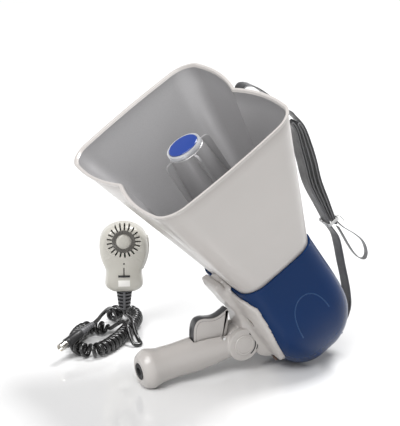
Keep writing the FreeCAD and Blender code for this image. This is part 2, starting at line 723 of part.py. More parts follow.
def pivot_bolt():
    shaft = cross_rod(PIVOT_BOLT_RADIUS, -HEAD_SEAT, HEAD_SEAT + 2.9, PIVOT_HEIGHT, PIVOT_STATION)
    head = cross_rod(7.4, -HEAD_SEAT - 3.0, -HEAD_SEAT - MOVE_GAP, PIVOT_HEIGHT, PIVOT_STATION)
    neck = cross_rod(PIVOT_BOLT_RADIUS, -HEAD_SEAT - 1.0, -HEAD_SEAT, PIVOT_HEIGHT, PIVOT_STATION)
    return join([shaft, head, neck])


def pivot_nut():
    corners = []
    for index in range(6):
        angle = math.radians(60 * index)
        corners.append((PIVOT_STATION + 7.2 * math.cos(angle), PIVOT_HEIGHT + 7.2 * math.sin(angle)))
    nut = slab(corners, HEAD_SEAT + MOVE_GAP, HEAD_SEAT + 3.0)
    return nut.cut(cross_rod(PIVOT_BOLT_RADIUS + RUN_GAP, 0, 40, PIVOT_HEIGHT, PIVOT_STATION))


def pivot_washers():
    washers = []
    for side in (-1, 1):
        low, high = sorted((side * (TONGUE_HALF + 0.05), side * (CHEEK_INNER - 0.05)))
        washer = cross_rod(12.0, low, high, PIVOT_HEIGHT, PIVOT_STATION)
        washers.append(washer.cut(cross_rod(PIVOT_BOLT_RADIUS + SEAT_GAP, -40, 40, PIVOT_HEIGHT, PIVOT_STATION)))
    return Part.makeCompound(washers)


# ---------------------------------------------------------------- grip (grip frame)
def ease(low, high, share):
    return low + (high - low) * (3 - 2 * share) * share ** 2


def grip_size(station, inset=0.0):
    """Half depth and half width of the grip, swelling in the palm and at the butt."""
    d, w, end = GRIP_HALF_DEPTH, GRIP_HALF_WIDTH, GRIP_LENGTH
    stops = [(GRIP_START, d - 4.0, w - 0.9), (end * 0.42, d, w), (end * 0.66, d - 1.0, w - 0.6),
             (BUTT_STATION, d + GRIP_BULGE, w + 3.2)]
    if station >= BUTT_STATION:
        share = (station - BUTT_STATION) / (end - BUTT_STATION)
        rounding = BUTT_ROUND * (1 - math.sqrt(max(0.0, 1 - share ** 2)))
        return stops[-1][1] - rounding - inset, stops[-1][2] - rounding - inset
    for before, after in zip(stops, stops[1:]):
        if station <= after[0]:
            share = (station - before[0]) / (after[0] - before[0])
            return ease(before[1], after[1], share) - inset, ease(before[2], after[2], share) - inset


def ellipse_wire(station, half_x, half_y):
    if half_x >= half_y:
        curve = Part.Ellipse(vec(half_x, 0, station), vec(0, half_y, station), vec(0, 0, station))
    else:
        curve = Part.Ellipse(vec(0, half_y, station), vec(-half_x, 0, station), vec(0, 0, station))
    return Part.Wire(curve.toShape())


def grip_run(low, high, count, inset):
    wires = []
    for index in range(count + 1):
        station = between(low, high, index / count)
        wires.append(ellipse_wire(station, *grip_size(station, inset)))
    return Part.makeLoft(wires, True, False)


def grip_form():
    return join([grip_run(GRIP_START, BUTT_STATION, 12, 0.0), grip_run(BUTT_STATION, GRIP_LENGTH, 6, 0.0)])


TRIGGER_PIN = (13.0, 22.0)       # depth and station in the grip frame
TRIGGER_PIN_RADIUS = 1.9
BUSH_RADIUS = 9.5
BUSH_BORE = 5.0
BUSH_LENGTH = 8.0
GRIP_SCREW_PLACES = ((-12.0, 40.0), (0.0, 72.0), (0.0, GRIP_LENGTH - 25.0))


def grip_body():
    outside = join([grip_form(), cross_rod(KNUCKLE_RADIUS, -CHEEK_OUTER, CHEEK_OUTER, 0, 0)])
    hollow = grip_run(HOLLOW_START, BUTT_STATION, 10, GRIP_WALL)
    bosses = [cross_rod(4.0, -GRIP_HALF_WIDTH + 1, GRIP_HALF_WIDTH - 1, x, z) for x, z in GRIP_SCREW_PLACES]
    for boss in bosses:
        hollow = hollow.cut(boss)
    body = outside.cut(hollow)
    body = body.cut(cross_rod(KNUCKLE_RADIUS + 0.7, -CHEEK_INNER, CHEEK_INNER, 0, 0))
    body = body.cut(block(3.0, 40, -TRIGGER_HALF_WIDTH - 0.4, TRIGGER_HALF_WIDTH + 0.4, 8.0, 59.0))
    body = body.cut(cross_rod(PIVOT_BOLT_RADIUS + RUN_GAP, -40, 40, 0, 0))
    for side in (-1, 1):
        low, high = sorted((side * HEAD_SEAT, side * 40))
        body = body.cut(cross_rod(8.0, low, high, 0, 0))
    body = body.cut(cross_rod(TRIGGER_PIN_RADIUS + RUN_GAP, -14.0, 14.0, *TRIGGER_PIN))
    body = body.cut(rod(BUSH_RADIUS + SEAT_GAP, GRIP_LENGTH - BUSH_LENGTH, GRIP_LENGTH + 5))
    for x, z in GRIP_SCREW_PLACES:
        body = body.cut(cross_rod(1.6 + SEAT_GAP, -8.0, 30, x, z))
        body = body.cut(cross_rod(3.4, GRIP_HALF_WIDTH - 4.5, 40, x, z))
    return body


def grip_left_shell():
    half = grip_body().common(block(-60, 60, -60, -0.02, -60, 200))
    return max(half.Solids, key=lambda solid: solid.Volume)


def grip_right_shell():
    half = grip_body().common(block(-60, 60, 0.02, 60, -60, 200))
    return max(half.Solids, key=lambda solid: solid.Volume)


def pivot_caps():
    caps = []
    for side in (-1, 1):
        low, high = sorted((side * (CHEEK_OUTER + 0.02), side * (CHEEK_OUTER + 1.6)))
        disc = cross_rod(12.5, low, high, 0, 0)
        low, high = sorted((side * (HEAD_SEAT + 3.4), side * (CHEEK_OUTER + 1.0)))
        caps.append(join([disc, cross_rod(7.8, low, high, 0, 0)]))
    return Part.makeCompound(caps)


def grip_screws():
    screws = []
    for x, z in GRIP_SCREW_PLACES:
        seat = GRIP_HALF_WIDTH - 4.5
        screws.append(join([cross_rod(1.6, -7.5, seat + 0.5, x, z), cross_rod(3.1, seat, seat + 2.2, x, z)]))
    return Part.makeCompound(screws)


def butt_bush():
    low = GRIP_LENGTH - BUSH_LENGTH
    return ring(BUSH_RADIUS, BUSH_BORE, low, GRIP_LENGTH + 0.3)


def trigger_outline():
    outer = smooth_wire([vec(x, 0, z) for z, x in ((9.5, 44.0), (15.5, 43.2), (22.0, 40.6), (29.0, 39.6), (36.0, 41.0),
                                                  (43.0, 42.8), (50.0, 41.6), (54.5, 35.5), (57.0, 25.0))])
    corners = [(57.0, 25.0), (57.0, 16.0), (50.0, 9.0), (27.0, 8.5), (20.0, 9.0), (17.5, 13.0), (13.5, 19.5),
               (9.5, 44.0)]
    lines = []
    for (z0, x0), (z1, x1) in zip(corners, corners[1:]):
        lines.append(Part.makeLine(vec(x0, 0, z0), vec(x1, 0, z1)))
    return Part.Face(Part.Wire([outer] + lines))


def trigger():
    face = trigger_outline()
    face.translate(vec(0, -TRIGGER_HALF_WIDTH, 0))
    body = face.extrude(vec(0, 2 * TRIGGER_HALF_WIDTH, 0))
    body = body.cut(cross_rod(TRIGGER_PIN_RADIUS + RUN_GAP, -20, 20, *TRIGGER_PIN))
    body = body.cut(cross_rod(4.9, 4.4, 20, *TRIGGER_PIN))
    x, z = TRIGGER_PIN
    return body.cut(block(x - 12.0, x - 2.0, 4.4, 20, z, z + 4.0))


def trigger_pin():
    return cross_rod(TRIGGER_PIN_RADIUS, -13.5, 13.5, *TRIGGER_PIN)


def trigger_spring():
    x, z = TRIGGER_PIN
    turns = cross_rod(4.2, 4.8, TRIGGER_HALF_WIDTH, x, z).cut(cross_rod(TRIGGER_PIN_RADIUS + RUN_GAP, 0, 20, x, z))
    leg = block(x - 9.7, x - 3.0, 5.4, 6.8, z + 1.2, z + 2.6)
    return join([turns, leg])


def trigger_switch():
    floor = -(GRIP_HALF_DEPTH - GRIP_WALL) * math.sqrt(1 - (6.0 / (GRIP_HALF_WIDTH - GRIP_WALL)) ** 2)
    low = floor + 0.35
    base = block(low, low + 12.0, -6, 6, 46, 58)
    return join([base, block(low + 12.0, low + 14.5, -1.5, 1.5, 49, 53)])


# ---------------------------------------------------------------- strap
def front_lug_seat():
    station = HORN_LENGTH - 18.0
    h, w, r, bend = bell_size(station)
    return station, h - CREASE_DEPTH * bend


def front_lug():
    station, seat = front_lug_seat()
    outer = block(seat - 3.0, seat + 11.0, -STRAP_WIDTH / 2 - 3, STRAP_WIDTH / 2 + 3, station - 6.0, station + 6.0)
    slot = block(seat + 3.6, seat + 7.6, -STRAP_WIDTH / 2 - 0.6, STRAP_WIDTH / 2 + 0.6, station - 9, station + 9)
    bell = Part.makeLoft([bell_wire(s, -0.05) for s in (neck_station(), HORN_LENGTH)], True, True)
    return outer.cut(slot).cut(bell)


def strap_points():
    """Centre line from the front lug over the loose bundle to the rear lug, as (z, x) points."""
    station, seat = front_lug_seat()
    slot = seat + 5.6
    upper = [(station - 9, slot - 0.2), (station, slot), (station + 7, slot + 0.3), (station + 12.5, slot + 3.6),
             (station + 13.5, slot + 9.5), (station + 7, slot + 17), (station - 8, slot + 24),
             (station - 28, slot + 30), (station - 50, slot + 34)]
    start = upper[-1]
    bundle = [start, (240, 122), (218, 117), (196, 111), (170, 103), (140, 98.5), (112, 94.5)]
    lower = [bundle[-1], (96, 91), (80, 86.5), (60, 79), (40, 72), (25, 66), (10, 58), (0, 47), (-4.8, 35), (-4.8, 25),
             (-4.8, 14)]
    return upper, bundle, lower


def strap_webbing():
    """The single webbing above and below the loose bundle."""
    upper, bundle, lower = strap_points()
    return Part.makeCompound([ribbon(run, STRAP_THICKNESS, STRAP_WIDTH) for run in (upper, lower)])


def strap_bundle():
    return ribbon(strap_points()[1], BUNDLE_THICKNESS, STRAP_WIDTH)


def strap_tail():
    end = strap_points()[1][-1]
    z, x = end[0] - 4.0, end[1] + BUNDLE_THICKNESS / 2 + TAIL_THICKNESS / 2 + 0.2
    points = [(z + 14, x + 1.5), (z + 8, x + 0.8), (z, x + 0.5), (z - 14, x + 4), (z - 30, x + 11), (z - 46, x + 15),
              (z - 60, x + 12), (z - 66, x + 5), (z - 61, x - 2), (z - 48, x - 5), (z - 34, x - 3.5)]
    return ribbon(points, TAIL_THICKNESS, TAIL_WIDTH)


def strap_tie():
    z, x = strap_points()[1][-1]
    low, high = z + 2.0, z + 6.0
    half = BUNDLE_THICKNESS / 2
    wide = STRAP_WIDTH / 2
    outer = block(x - half - 1.8, x + half + 4.0, -wide - 1.4, wide + 1.4, low, high)
    inner = block(x - half - 0.7, x + half + 2.9, -wide - 0.3, wide + 0.3, low - 1, high + 1)
    return outer.cut(inner)


# ---------------------------------------------------------------- microphone (microphone frame)
def mic_profile(inset=0.0, scale=1.0):
    """Half outline of the microphone seen from the front, from the bottom up."""
    share = ((0.0, 0.28), (0.03, 0.60), (0.09, 0.76), (0.16, 0.785), (0.23, 0.755), (0.31, 0.745), (0.42, 0.86),
             (0.54, 0.965), (0.64, 1.0), (0.74, 0.985), (0.84, 0.89), (0.92, 0.69), (0.975, 0.40))
    middle = 0.55 * MIC_HEIGHT
    points = []
    for height, width in share:
        x = (width * MIC_HALF_WIDTH - inset) * scale
        z = middle + (height * MIC_HEIGHT - middle) * (1 - inset / middle) * scale
        points.append((x, z))
    top = middle + (MIC_HEIGHT - middle) * (1 - inset / middle) * scale
    return points, top


def mic_wire(y, inset=0.0, scale=1.0):
    points, top = mic_profile(inset, scale)
    right = [vec(x, y, z) for x, z in points]
    left = [vec(-x, y, z) for x, z in points[::-1]]
    arch = smooth_wire(right + [vec(0, y, top)] + left)
    return Part.Wire([arch, Part.makeLine(left[-1], right[0])])


def mic_half(direction, depth, inset=0.0):
    """Domed half of the microphone; direction is -1 for the grille side."""
    layers = ((0.0, 1.0), (0.45, 1.0), (0.8, 0.95), (1.0, 0.84))
    reach = depth - inset
    wires = [mic_wire(direction * reach * share, inset, scale) for share, scale in layers]
    return Part.makeLoft(wires, True, False)


GRILLE_HEIGHT = 0.776
GRILLE_OUTER = 20.6
GRILLE_INNER = 9.4
GRILLE_SLOTS = 21
PTT_LOW = 0.33
PTT_HIGH = 0.80
PTT_TRAVEL = 2.0
SLIDE_HEIGHT = 0.33


def ptt_zone(gap):
    """Space of the push-to-talk bar in the microphone's right flank."""
    low = PTT_LOW * MIC_HEIGHT - gap
    high = PTT_HIGH * MIC_HEIGHT + gap
    return block(MIC_HALF_WIDTH * 0.70 - gap - PTT_TRAVEL * (gap > 0), MIC_HALF_WIDTH + 10,
                 -6.0 - gap, 6.0 + gap, low, high)


def mic_front_shell():
    centre = GRILLE_HEIGHT * MIC_HEIGHT
    shell = mic_half(-1, MIC_FRONT_DEPTH).cut(mic_half(-1, MIC_FRONT_DEPTH, MIC_WALL))
    tower = block(GRILLE_INNER, GRILLE_OUTER, -MIC_FRONT_DEPTH - 3, -MIC_FRONT_DEPTH * 0.3, -0.75, 0.75)
    for index in range(GRILLE_SLOTS):
        slot = tower.copy()
        slot.rotate(vec(), AXIS_Y, 360.0 * index / GRILLE_SLOTS)
        slot.translate(vec(0, 0, centre))
        shell = shell.cut(slot)
    slide = SLIDE_HEIGHT * MIC_HEIGHT
    shell = shell.cut(block(-3.2, 3.2, -40, -2, slide - 8.0, slide + 8.0))
    shell = shell.cut(ptt_zone(MOVE_GAP))
    shell = shell.cut(rod(RELIEF_TOP_RADIUS + SEAT_GAP, -10, RELIEF_PLUG))
    return max(shell.Solids, key=lambda solid: solid.Volume)


def mic_rear_shell():
    shell = mic_half(1, MIC_REAR_DEPTH).cut(mic_half(1, MIC_REAR_DEPTH, MIC_WALL))
    shell = shell.cut(ptt_zone(MOVE_GAP))
    shell = shell.cut(rod(RELIEF_TOP_RADIUS + SEAT_GAP, -10, RELIEF_PLUG))
    for x, share in MIC_SCREW_PLACES:
        shell = shell.cut(cross_rod(1.3 + SEAT_GAP, 0, 40, x, share * MIC_HEIGHT))
        shell = shell.cut(cross_rod(2.4 + SEAT_GAP, MIC_REAR_DEPTH - 1.3, 40, x, share * MIC_HEIGHT))
    shell.translate(vec(0, 0.02, 0))
    return max(shell.Solids, key=lambda solid: solid.Volume)


def mic_capsule():
    centre = GRILLE_HEIGHT * MIC_HEIGHT
    front = -MIC_FRONT_DEPTH * 0.72
    capsule = cross_rod(9.0, front, front + 8.0, 0, centre)
    return join([capsule, cross_rod(5.0, front + 7.0, MIC_REAR_DEPTH - MIC_WALL - 0.3, 0, centre)])


def mic_board():
    low = 0.16 * MIC_HEIGHT
    high = 0.56 * MIC_HEIGHT
    board = block(-14, 14, 1.0, 2.6, low, high)
    posts = [cross_rod(2.0, 2.6, MIC_REAR_DEPTH - MIC_WALL - 0.3, x, (low + high) / 2) for x in (-9.0, 9.0)]
    return join([board] + posts)


def ptt_lever():
    """Bar that follows the flank and is squeezed inwards."""
    low = PTT_LOW * MIC_HEIGHT
    high = PTT_HIGH * MIC_HEIGHT
    outer = mic_half(-1, 6.4, -1.6).fuse(mic_half(1, 6.4, -1.6))
    inner = mic_half(-1, 6.4, MIC_WALL + 1.0).fuse(mic_half(1, 6.4, MIC_WALL + 1.0))
    bar = outer.cut(inner).common(block(0, MIC_HALF_WIDTH + 10, -6, 6, low, high))
    bar = bar.common(ptt_zone(0.0))
    return max(bar.Solids, key=lambda solid: solid.Volume)


def mic_switch():
    slide = SLIDE_HEIGHT * MIC_HEIGHT
    low = slide - 8.0 + MOVE_GAP
    stem = block(-2.8, 2.8, -MIC_FRONT_DEPTH + 1.0, -MIC_FRONT_DEPTH + 6.0, low, low + 6.0)
    cap = block(-7.0, 7.0, -MIC_FRONT_DEPTH - 2.2, -MIC_FRONT_DEPTH - 0.4, low + 1.6, low + 4.4)
    return join([stem, cap, block(-2.8, 2.8, -MIC_FRONT_DEPTH - 1.0, -MIC_FRONT_DEPTH + 2.0, low + 1.6, low + 4.4)])


MIC_SCREW_PLACES = ((-10.0, 0.18), (10.0, 0.18), (-15.0, 0.80), (15.0, 0.80))


def mic_screws():
    screws = []
    for x, share in MIC_SCREW_PLACES:
        z = share * MIC_HEIGHT
        top = MIC_REAR_DEPTH - 0.2
        screws.append(join([cross_rod(2.4, top - 1.0, top, x, z), cross_rod(1.3, 3.5, top - 0.5, x, z)]))
    return Part.makeCompound(screws)


def mic_button():
    """Hang-up button on the microphone's back."""
    z = 0.62 * MIC_HEIGHT
    back = MIC_REAR_DEPTH + 0.02
    return join([cross_rod(5.0, back, back + 2.5, 0, z), cross_rod(8.0, back + 2.5, back + 5.0, 0, z)])


RELIEF_TOP_RADIUS = 10.0
RELIEF_TIP_RADIUS = 7.0
RELIEF_PLUG = 3.0


def mic_relief():
    """Ribbed strain relief from the microphone's foot down to the cord."""
    core = Part.makeCone(RELIEF_TIP_RADIUS - 1.2, RELIEF_TOP_RADIUS - 1.4, RELIEF_LENGTH, vec(0, 0, -RELIEF_LENGTH))
    parts = [core, rod(RELIEF_TOP_RADIUS, -1.6, RELIEF_PLUG - SEAT_GAP)]
    ribs = 5
    pitch = (RELIEF_LENGTH - 4.0) / ribs
    for index in range(ribs):
        low = -RELIEF_LENGTH + index * pitch + 0.6
        radius = RELIEF_TIP_RADIUS + (RELIEF_TOP_RADIUS - RELIEF_TIP_RADIUS) * index / ribs
        parts.append(rod(radius, low, low + pitch * 0.62))
    return join(parts)


# ---------------------------------------------------------------- cord (row frame)
COIL_ROUTE = [
    (-77.5, 168, 9.45), (-73.7, 177.2, 9.45), (-64.5, 181, 9.45), (-55.3, 177.2, 9.45), (-51.5, 168, 9.45),
    (-52.5, 156, 9.45), (-58, 144, 9.45), (-67.5, 132.5, 9.45), (-79.5, 120, 9.45), (-92, 107.6, 9.45),
    (-109.8, 91.4, 9.45), (-127, 79.6, 9.45), (-141.9, 74.3, 9.45), (-153, 78.5, 9.45), (-157.3, 91, 9.45),
    (-155.2, 105.4, 9.45), (-149.5, 119.9, 9.45), (-140.8, 133.1, 9.45), (-130.4, 142.3, 9.45),
    (-120, 146.4, 9.45), (-110.5, 142.5, 9.45), (-105, 133.5, 9.45)]
MIC_LEAD_ROUTE = [
    (-74, 142, 28), (-74, 142, 23.4), (-74.3, 138.6, 20.3), (-75.3, 130.5, 21.8), (-76.2, 123.5, 23.2),
    (-77, 115, 23.2), (-77.5, 107.5, 20), (-77.6, 101.5, 10.5), (-77.8, 92.5, 4.4), (-77.8, 83, 2.7),
    (-88.2, 83, 2.7), (-88.2, 92.5, 9.5), (-88.3, 98.5, 19.5), (-88.5, 106, 23.3), (-89.5, 115, 23.3),
    (-94, 120.5, 18.5), (-100.7, 126.6, 10.8), (-105, 133.5, 9.45)]
PLUG_LEAD_ROUTE = [
    (-77.5, 168, 14.5), (-81.5, 162, 20.5), (-87.5, 154.5, 26.5), (-95, 145.5, 29.5), (-103.5, 135.5, 30.8),
    (-113, 125, 31.2), (-122, 113.5, 31), (-131, 107, 30)]
PLUG_TIP = FreeCAD.Vector(-187.0, 78.0, 19.0)


def cord_tube(points, diameter):
    """Tube along straight runs that tangent arcs join; prints its tightest bend."""
    route = [vec(*point) for point in points]
    edges = []
    start = route[0]
    radii = []
    for before, corner, after in zip(route, route[1:], route[2:]):
        into = (corner - before)
        out = (after - corner)
        run = min(into.Length, out.Length)
        half_turn = into.getAngle(out) / 2
        radius = 0.45 * run / math.tan(half_turn)
        radii.append(round(radius, 1))
        first = corner - into.normalize() * 0.45 * run
        last = corner + out.normalize() * 0.45 * run
        middle_way = (first + last) * 0.5 - corner
        centre_distance = radius / math.cos(half_turn)
        middle = corner + middle_way.normalize() * (centre_distance - radius)
        edges.append(Part.LineSegment(start, first).toShape())
        edges.append(Part.Arc(first, middle, last).toShape())
        start = last
    edges.append(Part.LineSegment(start, route[-1]).toShape())
    path = Part.Wire(edges)
    profile = Part.Wire(Part.Circle(route[0], route[1] - route[0], diameter / 2).toShape())
    tube = path.makePipeShell([profile], True, True)
    expected = path.Length * math.pi * diameter ** 2 / 4
    print("cord length", round(path.Length, 1), "radii", radii, "volume ratio", round(tube.Volume / expected, 4))
    return tube


def along_plug(radii, low, high):
    """Turned piece along the plug's axis, its stations counted from the cord."""
    start = vec(*PLUG_LEAD_ROUTE[-1])
    axis = (PLUG_TIP - start).normalize()
    pieces = []
    step = (high - low) / (len(radii) - 1)
    for index in range(len(radii) - 1):
        a, b = radii[index], radii[index + 1]
        base = start + axis * (low + index * step)
        if a == b:
            pieces.append(Part.makeCylinder(a, step, base, axis))
        else:
            pieces.append(Part.makeCone(a, b, step, base, axis))
    return join(pieces)


def plug_relief():
    return along_plug([3.2, 4.0, 4.9], 0.0, 24.0)


def plug_body():
    return along_plug([5.4, 5.8, 5.8, 5.8], 24.0, 52.0)


def plug_contact():
    return along_plug([5.0, 5.0], 52.0, 63.0)


# ---------------------------------------------------------------- assembly
MEGAPHONE_PIECES = [
    horn_bell, reflector_cup, badge_disc, throat_tube, baffle_plate, baffle_screws, driver_frame, driver_diaphragm,
    driver_top_plate, driver_magnet, driver_back_plate, rear_housing, seam_gasket, control_panel, volume_knob,
    volume_pot, mode_slider, mic_socket, power_led, amplifier_board, battery_tray, battery_cells,
    battery_contacts, battery_door, door_hinge_pin, door_lock, saddle, saddle_screws, pivot_bolt, pivot_nut,
    pivot_washers, front_lug, strap_webbing, strap_bundle, strap_tail, strap_tie]
GRIP_PIECES = [
    grip_left_shell, grip_right_shell, pivot_caps, grip_screws, butt_bush, trigger, trigger_pin, trigger_spring,
    trigger_switch]
MIC_PIECES = [mic_front_shell, mic_rear_shell, mic_capsule, mic_board, ptt_lever, mic_switch, mic_screws, mic_button,
              mic_relief]


def main():
    os.makedirs("parts", exist_ok=True)
    shapes = {}
    for piece in MEGAPHONE_PIECES:
        shapes[piece.__name__] = piece()
    for piece in GRIP_PIECES:
        shapes[piece.__name__] = in_grip(piece())
    tilt = FreeCAD.Placement(vec(0, 0, FLOOR_DROP), FreeCAD.Rotation(AXIS_Y, -LEAN))
    for name in shapes:
        shapes[name].Placement = tilt.multiply(shapes[name].Placement)
    megaphone = Part.makeCompound(list(shapes.values())).optimalBoundingBox(False)

    mic_place = FreeCAD.Placement(RELIEF_TIP + vec(0, 0, RELIEF_LENGTH), FreeCAD.Rotation(AXIS_Z, MIC_TURN))
    mic_shapes = {}
    for piece in MIC_PIECES:
        shape = piece()
        shape.Placement = mic_place.multiply(shape.Placement)
        mic_shapes[piece.__name__] = shape
    microphone = Part.makeCompound(list(mic_shapes.values())).optimalBoundingBox(False)

    shift = vec(-(megaphone.XMin + megaphone.XMax) / 2, -megaphone.YMin - microphone.YMax, 0)
    for name in shapes:
        shapes[name].translate(shift)
    shapes.update(mic_shapes)
    shapes["cord_coil"] = cord_tube(COIL_ROUTE, COIL_DIAMETER)
    shapes["cord_mic_lead"] = cord_tube(MIC_LEAD_ROUTE, CORD_DIAMETER)
    shapes["cord_plug_lead"] = cord_tube(PLUG_LEAD_ROUTE, CORD_DIAMETER)
    shapes["plug_relief"] = plug_relief()
    shapes["plug_body"] = plug_body()
    shapes["plug_contact"] = plug_contact()

    for name, shape in shapes.items():
        shape.exportStep("parts/" + name + ".step")
    print("shift", shift, "floor drop", round(FLOOR_DROP, 3), "grip angle", round(grip_forward(), 3))
    print("nodes", len(shapes))


main()
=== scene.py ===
import json
import math

import bmesh
import bpy
from mathutils import Matrix, Vector
from mathutils.bvhtree import BVHTree

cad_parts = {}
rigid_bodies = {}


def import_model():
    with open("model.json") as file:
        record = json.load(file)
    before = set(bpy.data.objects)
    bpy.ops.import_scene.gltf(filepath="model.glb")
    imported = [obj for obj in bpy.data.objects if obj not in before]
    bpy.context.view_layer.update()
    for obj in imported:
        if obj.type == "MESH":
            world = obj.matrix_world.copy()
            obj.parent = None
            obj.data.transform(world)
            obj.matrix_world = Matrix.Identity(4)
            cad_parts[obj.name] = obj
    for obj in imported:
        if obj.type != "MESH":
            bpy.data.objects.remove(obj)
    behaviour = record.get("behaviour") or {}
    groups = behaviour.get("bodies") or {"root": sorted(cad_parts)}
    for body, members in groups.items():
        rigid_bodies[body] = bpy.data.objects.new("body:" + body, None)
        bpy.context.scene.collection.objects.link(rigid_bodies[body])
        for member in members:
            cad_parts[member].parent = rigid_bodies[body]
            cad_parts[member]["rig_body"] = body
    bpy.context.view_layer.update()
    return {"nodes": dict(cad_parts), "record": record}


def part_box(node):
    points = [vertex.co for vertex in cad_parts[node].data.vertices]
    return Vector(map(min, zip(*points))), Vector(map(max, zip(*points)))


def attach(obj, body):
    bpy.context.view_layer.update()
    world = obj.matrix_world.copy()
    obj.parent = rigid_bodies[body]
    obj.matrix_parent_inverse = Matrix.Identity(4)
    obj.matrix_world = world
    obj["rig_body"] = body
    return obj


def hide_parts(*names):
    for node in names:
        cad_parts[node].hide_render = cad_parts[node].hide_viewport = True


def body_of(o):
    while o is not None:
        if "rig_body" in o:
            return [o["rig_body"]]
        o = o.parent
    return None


# Finished surfaces of a handheld megaphone with its fist microphone, built around the packed
# model.  Lengths in this file are millimetres times MM, so they read as metres.

bl_info = {
    "name": "Handheld megaphone surfaces",
    "version": (1, 0, 0),
    "blender": (4, 5, 0),
    "location": "3D View > Sidebar > Megaphone",
    "description": "Builds the finished surfaces of a handheld megaphone and its fist microphone",
    "category": "Add Mesh",
}

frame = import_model()
RECORD = frame["record"]
JOINTS = {joint["name"]: joint for joint in RECORD["behaviour"]["joints"]}
MOUNTS = {mount["name"]: mount for mount in RECORD["mounts"]}
NODE_SLOTS = {part["node"]: part["material_slot"] for part in RECORD["subparts"]}
MM = 0.001
ACROSS = Vector((0, 1, 0))
UP = Vector((0, 0, 1))


# ---------------------------------------------------------------- the object's own frames
def axes_matrix(x_axis, y_axis, z_axis, origin):
    turn = Matrix((x_axis, y_axis, z_axis)).transposed().to_4x4()
    return Matrix.Translation(origin) @ turn


PIVOT_PLACE = Vector((-77.2, 0.0, 73.5)) * MM     # handle pivot, in the horn's frame
LOW, HIGH = 0, 1


def horn_frame():
    """X towards the carrying strap, Y across, Z out of the mouth from the housing's rear face."""
    along = Vector(JOINTS["mode_slide"]["axis"]).normalized()
    turn = axes_matrix(ACROSS.cross(along), ACROSS, along, Vector())
    origin = Vector(JOINTS["grip_fold"]["pos_m"]) - turn @ PIVOT_PLACE
    return Matrix.Translation(origin) @ turn


def grip_frame():
    """X towards the trigger, Z from the pivot to the butt."""
    down = Vector(MOUNTS["butt_socket"]["axis"]).normalized()
    return axes_matrix(ACROSS.cross(down), ACROSS, down, Vector(JOINTS["grip_fold"]["pos_m"]))


def microphone_frame():
    """X to the microphone's right, -Y out of its grille, Z up from its foot."""
    right = -Vector(JOINTS["ptt_squeeze"]["axis"]).normalized()
    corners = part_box("mic_relief")
    middle = (Vector(corners[LOW]) + Vector(corners[HIGH])) / 2
    foot = Vector((middle.x, middle.y, corners[LOW][2] + RELIEF_LENGTH))
    return axes_matrix(right, UP.cross(right), UP, foot)


RELIEF_LENGTH = 25.0 * MM
HORN = horn_frame()
GRIP = grip_frame()
MIC = microphone_frame()


# ---------------------------------------------------------------- settings a user can change
def colour_setting(name, description, value):
    return bpy.props.FloatVectorProperty(name=name, description=description, default=value, size=3,
                                         min=0.0, max=1.0, subtype="COLOR")


def length_setting(name, description, value):
    return bpy.props.FloatProperty(name=name, description=description, default=value * MM, min=0.0,
                                   subtype="DISTANCE", unit="LENGTH")


class MegaphoneColours(bpy.types.PropertyGroup):
    """Colours of the main mouldings"""
    shell: colour_setting("Shell", "Off-white of the bell, the handle and the saddle", (0.425, 0.402, 0.384))
    housing: colour_setting("Housing", "Blue of the rear housing and the battery door",
                            (0.0006, 0.0185, 0.078))
    silver: colour_setting("Horn silver", "Paint inside the horn and on the reflector", (0.36, 0.355, 0.36))
    badge: colour_setting("Badge", "Blue of the bare disc on the reflector", (0.008, 0.036, 0.215))
    microphone: colour_setting("Microphone", "Warm off-white of the fist microphone", (0.47, 0.456, 0.412))
    strap: colour_setting("Strap", "Dark webbing of the carrying strap", (0.016, 0.016, 0.018))
    cord: colour_setting("Cord", "Black jacket of the curly cord", (0.010, 0.010, 0.010))


class MegaphoneSizes(bpy.types.PropertyGroup):
    """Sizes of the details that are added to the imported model"""
    strap_width: length_setting("Strap width", "Width of the webbing", 22.0)
    strap_thickness: length_setting("Strap thickness", "Thickness of the webbing", 1.9)
    cord_diameter: length_setting("Cord", "Diameter of the microphone's cord", 5.0)
    coil_diameter: length_setting("Coil", "Outside diameter of the curly cord", 18.2)
    loose_pitch: length_setting("Loose pitch", "Spacing of the turns where the cord is drawn out", 8.2)
    tight_pitch: length_setting("Tight pitch", "Spacing of the turns where the cord is slack", 5.9)
    grille_slots: bpy.props.IntProperty(name="Grille slots", description="Radial slots round the grille",
                                        default=21, min=3, max=60)


# ---------------------------------------------------------------- materials
def new_material(name):
    material = bpy.data.materials.new(name)
    material.use_nodes = True
    nodes = material.node_tree.nodes
    return material, nodes, material.node_tree.links, nodes["Principled BSDF"]


def noise(nodes, links, vector, scale, detail=3.0):
    texture = nodes.new("ShaderNodeTexNoise")
    texture.inputs["Scale"].default_value = scale
    texture.inputs["Detail"].default_value = detail
    links.new(vector, texture.inputs["Vector"])
    return texture.outputs["Fac"]


def spread(nodes, links, value, low, high):
    """Map a texture's middle range to low..high."""
    ranger = nodes.new("ShaderNodeMapRange")
    ranger.inputs["From Min"].default_value = 0.3
    ranger.inputs["From Max"].default_value = 0.7
    ranger.inputs["To Min"].default_value = low
    ranger.inputs["To Max"].default_value = high
    links.new(value, ranger.inputs["Value"])
    return ranger.outputs["Result"]


def shaded(nodes, links, value, dark, light):
    """Colour between two shades, following a texture."""
    ramp = nodes.new("ShaderNodeValToRGB")
    ramp.color_ramp.elements[0].position = 0.32
    ramp.color_ramp.elements[1].position = 0.68
    ramp.color_ramp.elements[0].color = (*dark, 1)
    ramp.color_ramp.elements[1].color = (*light, 1)
    links.new(value, ramp.inputs["Fac"])
    return ramp.outputs["Color"]


def bump(nodes, links, height, strength, distance):
    node = nodes.new("ShaderNodeBump")
    node.inputs["Strength"].default_value = strength
    node.inputs["Distance"].default_value = distance
    links.new(height, node.inputs["Height"])
    return node


def scaled(colour, factor):
    return tuple(min(1.0, channel * factor) for channel in colour)


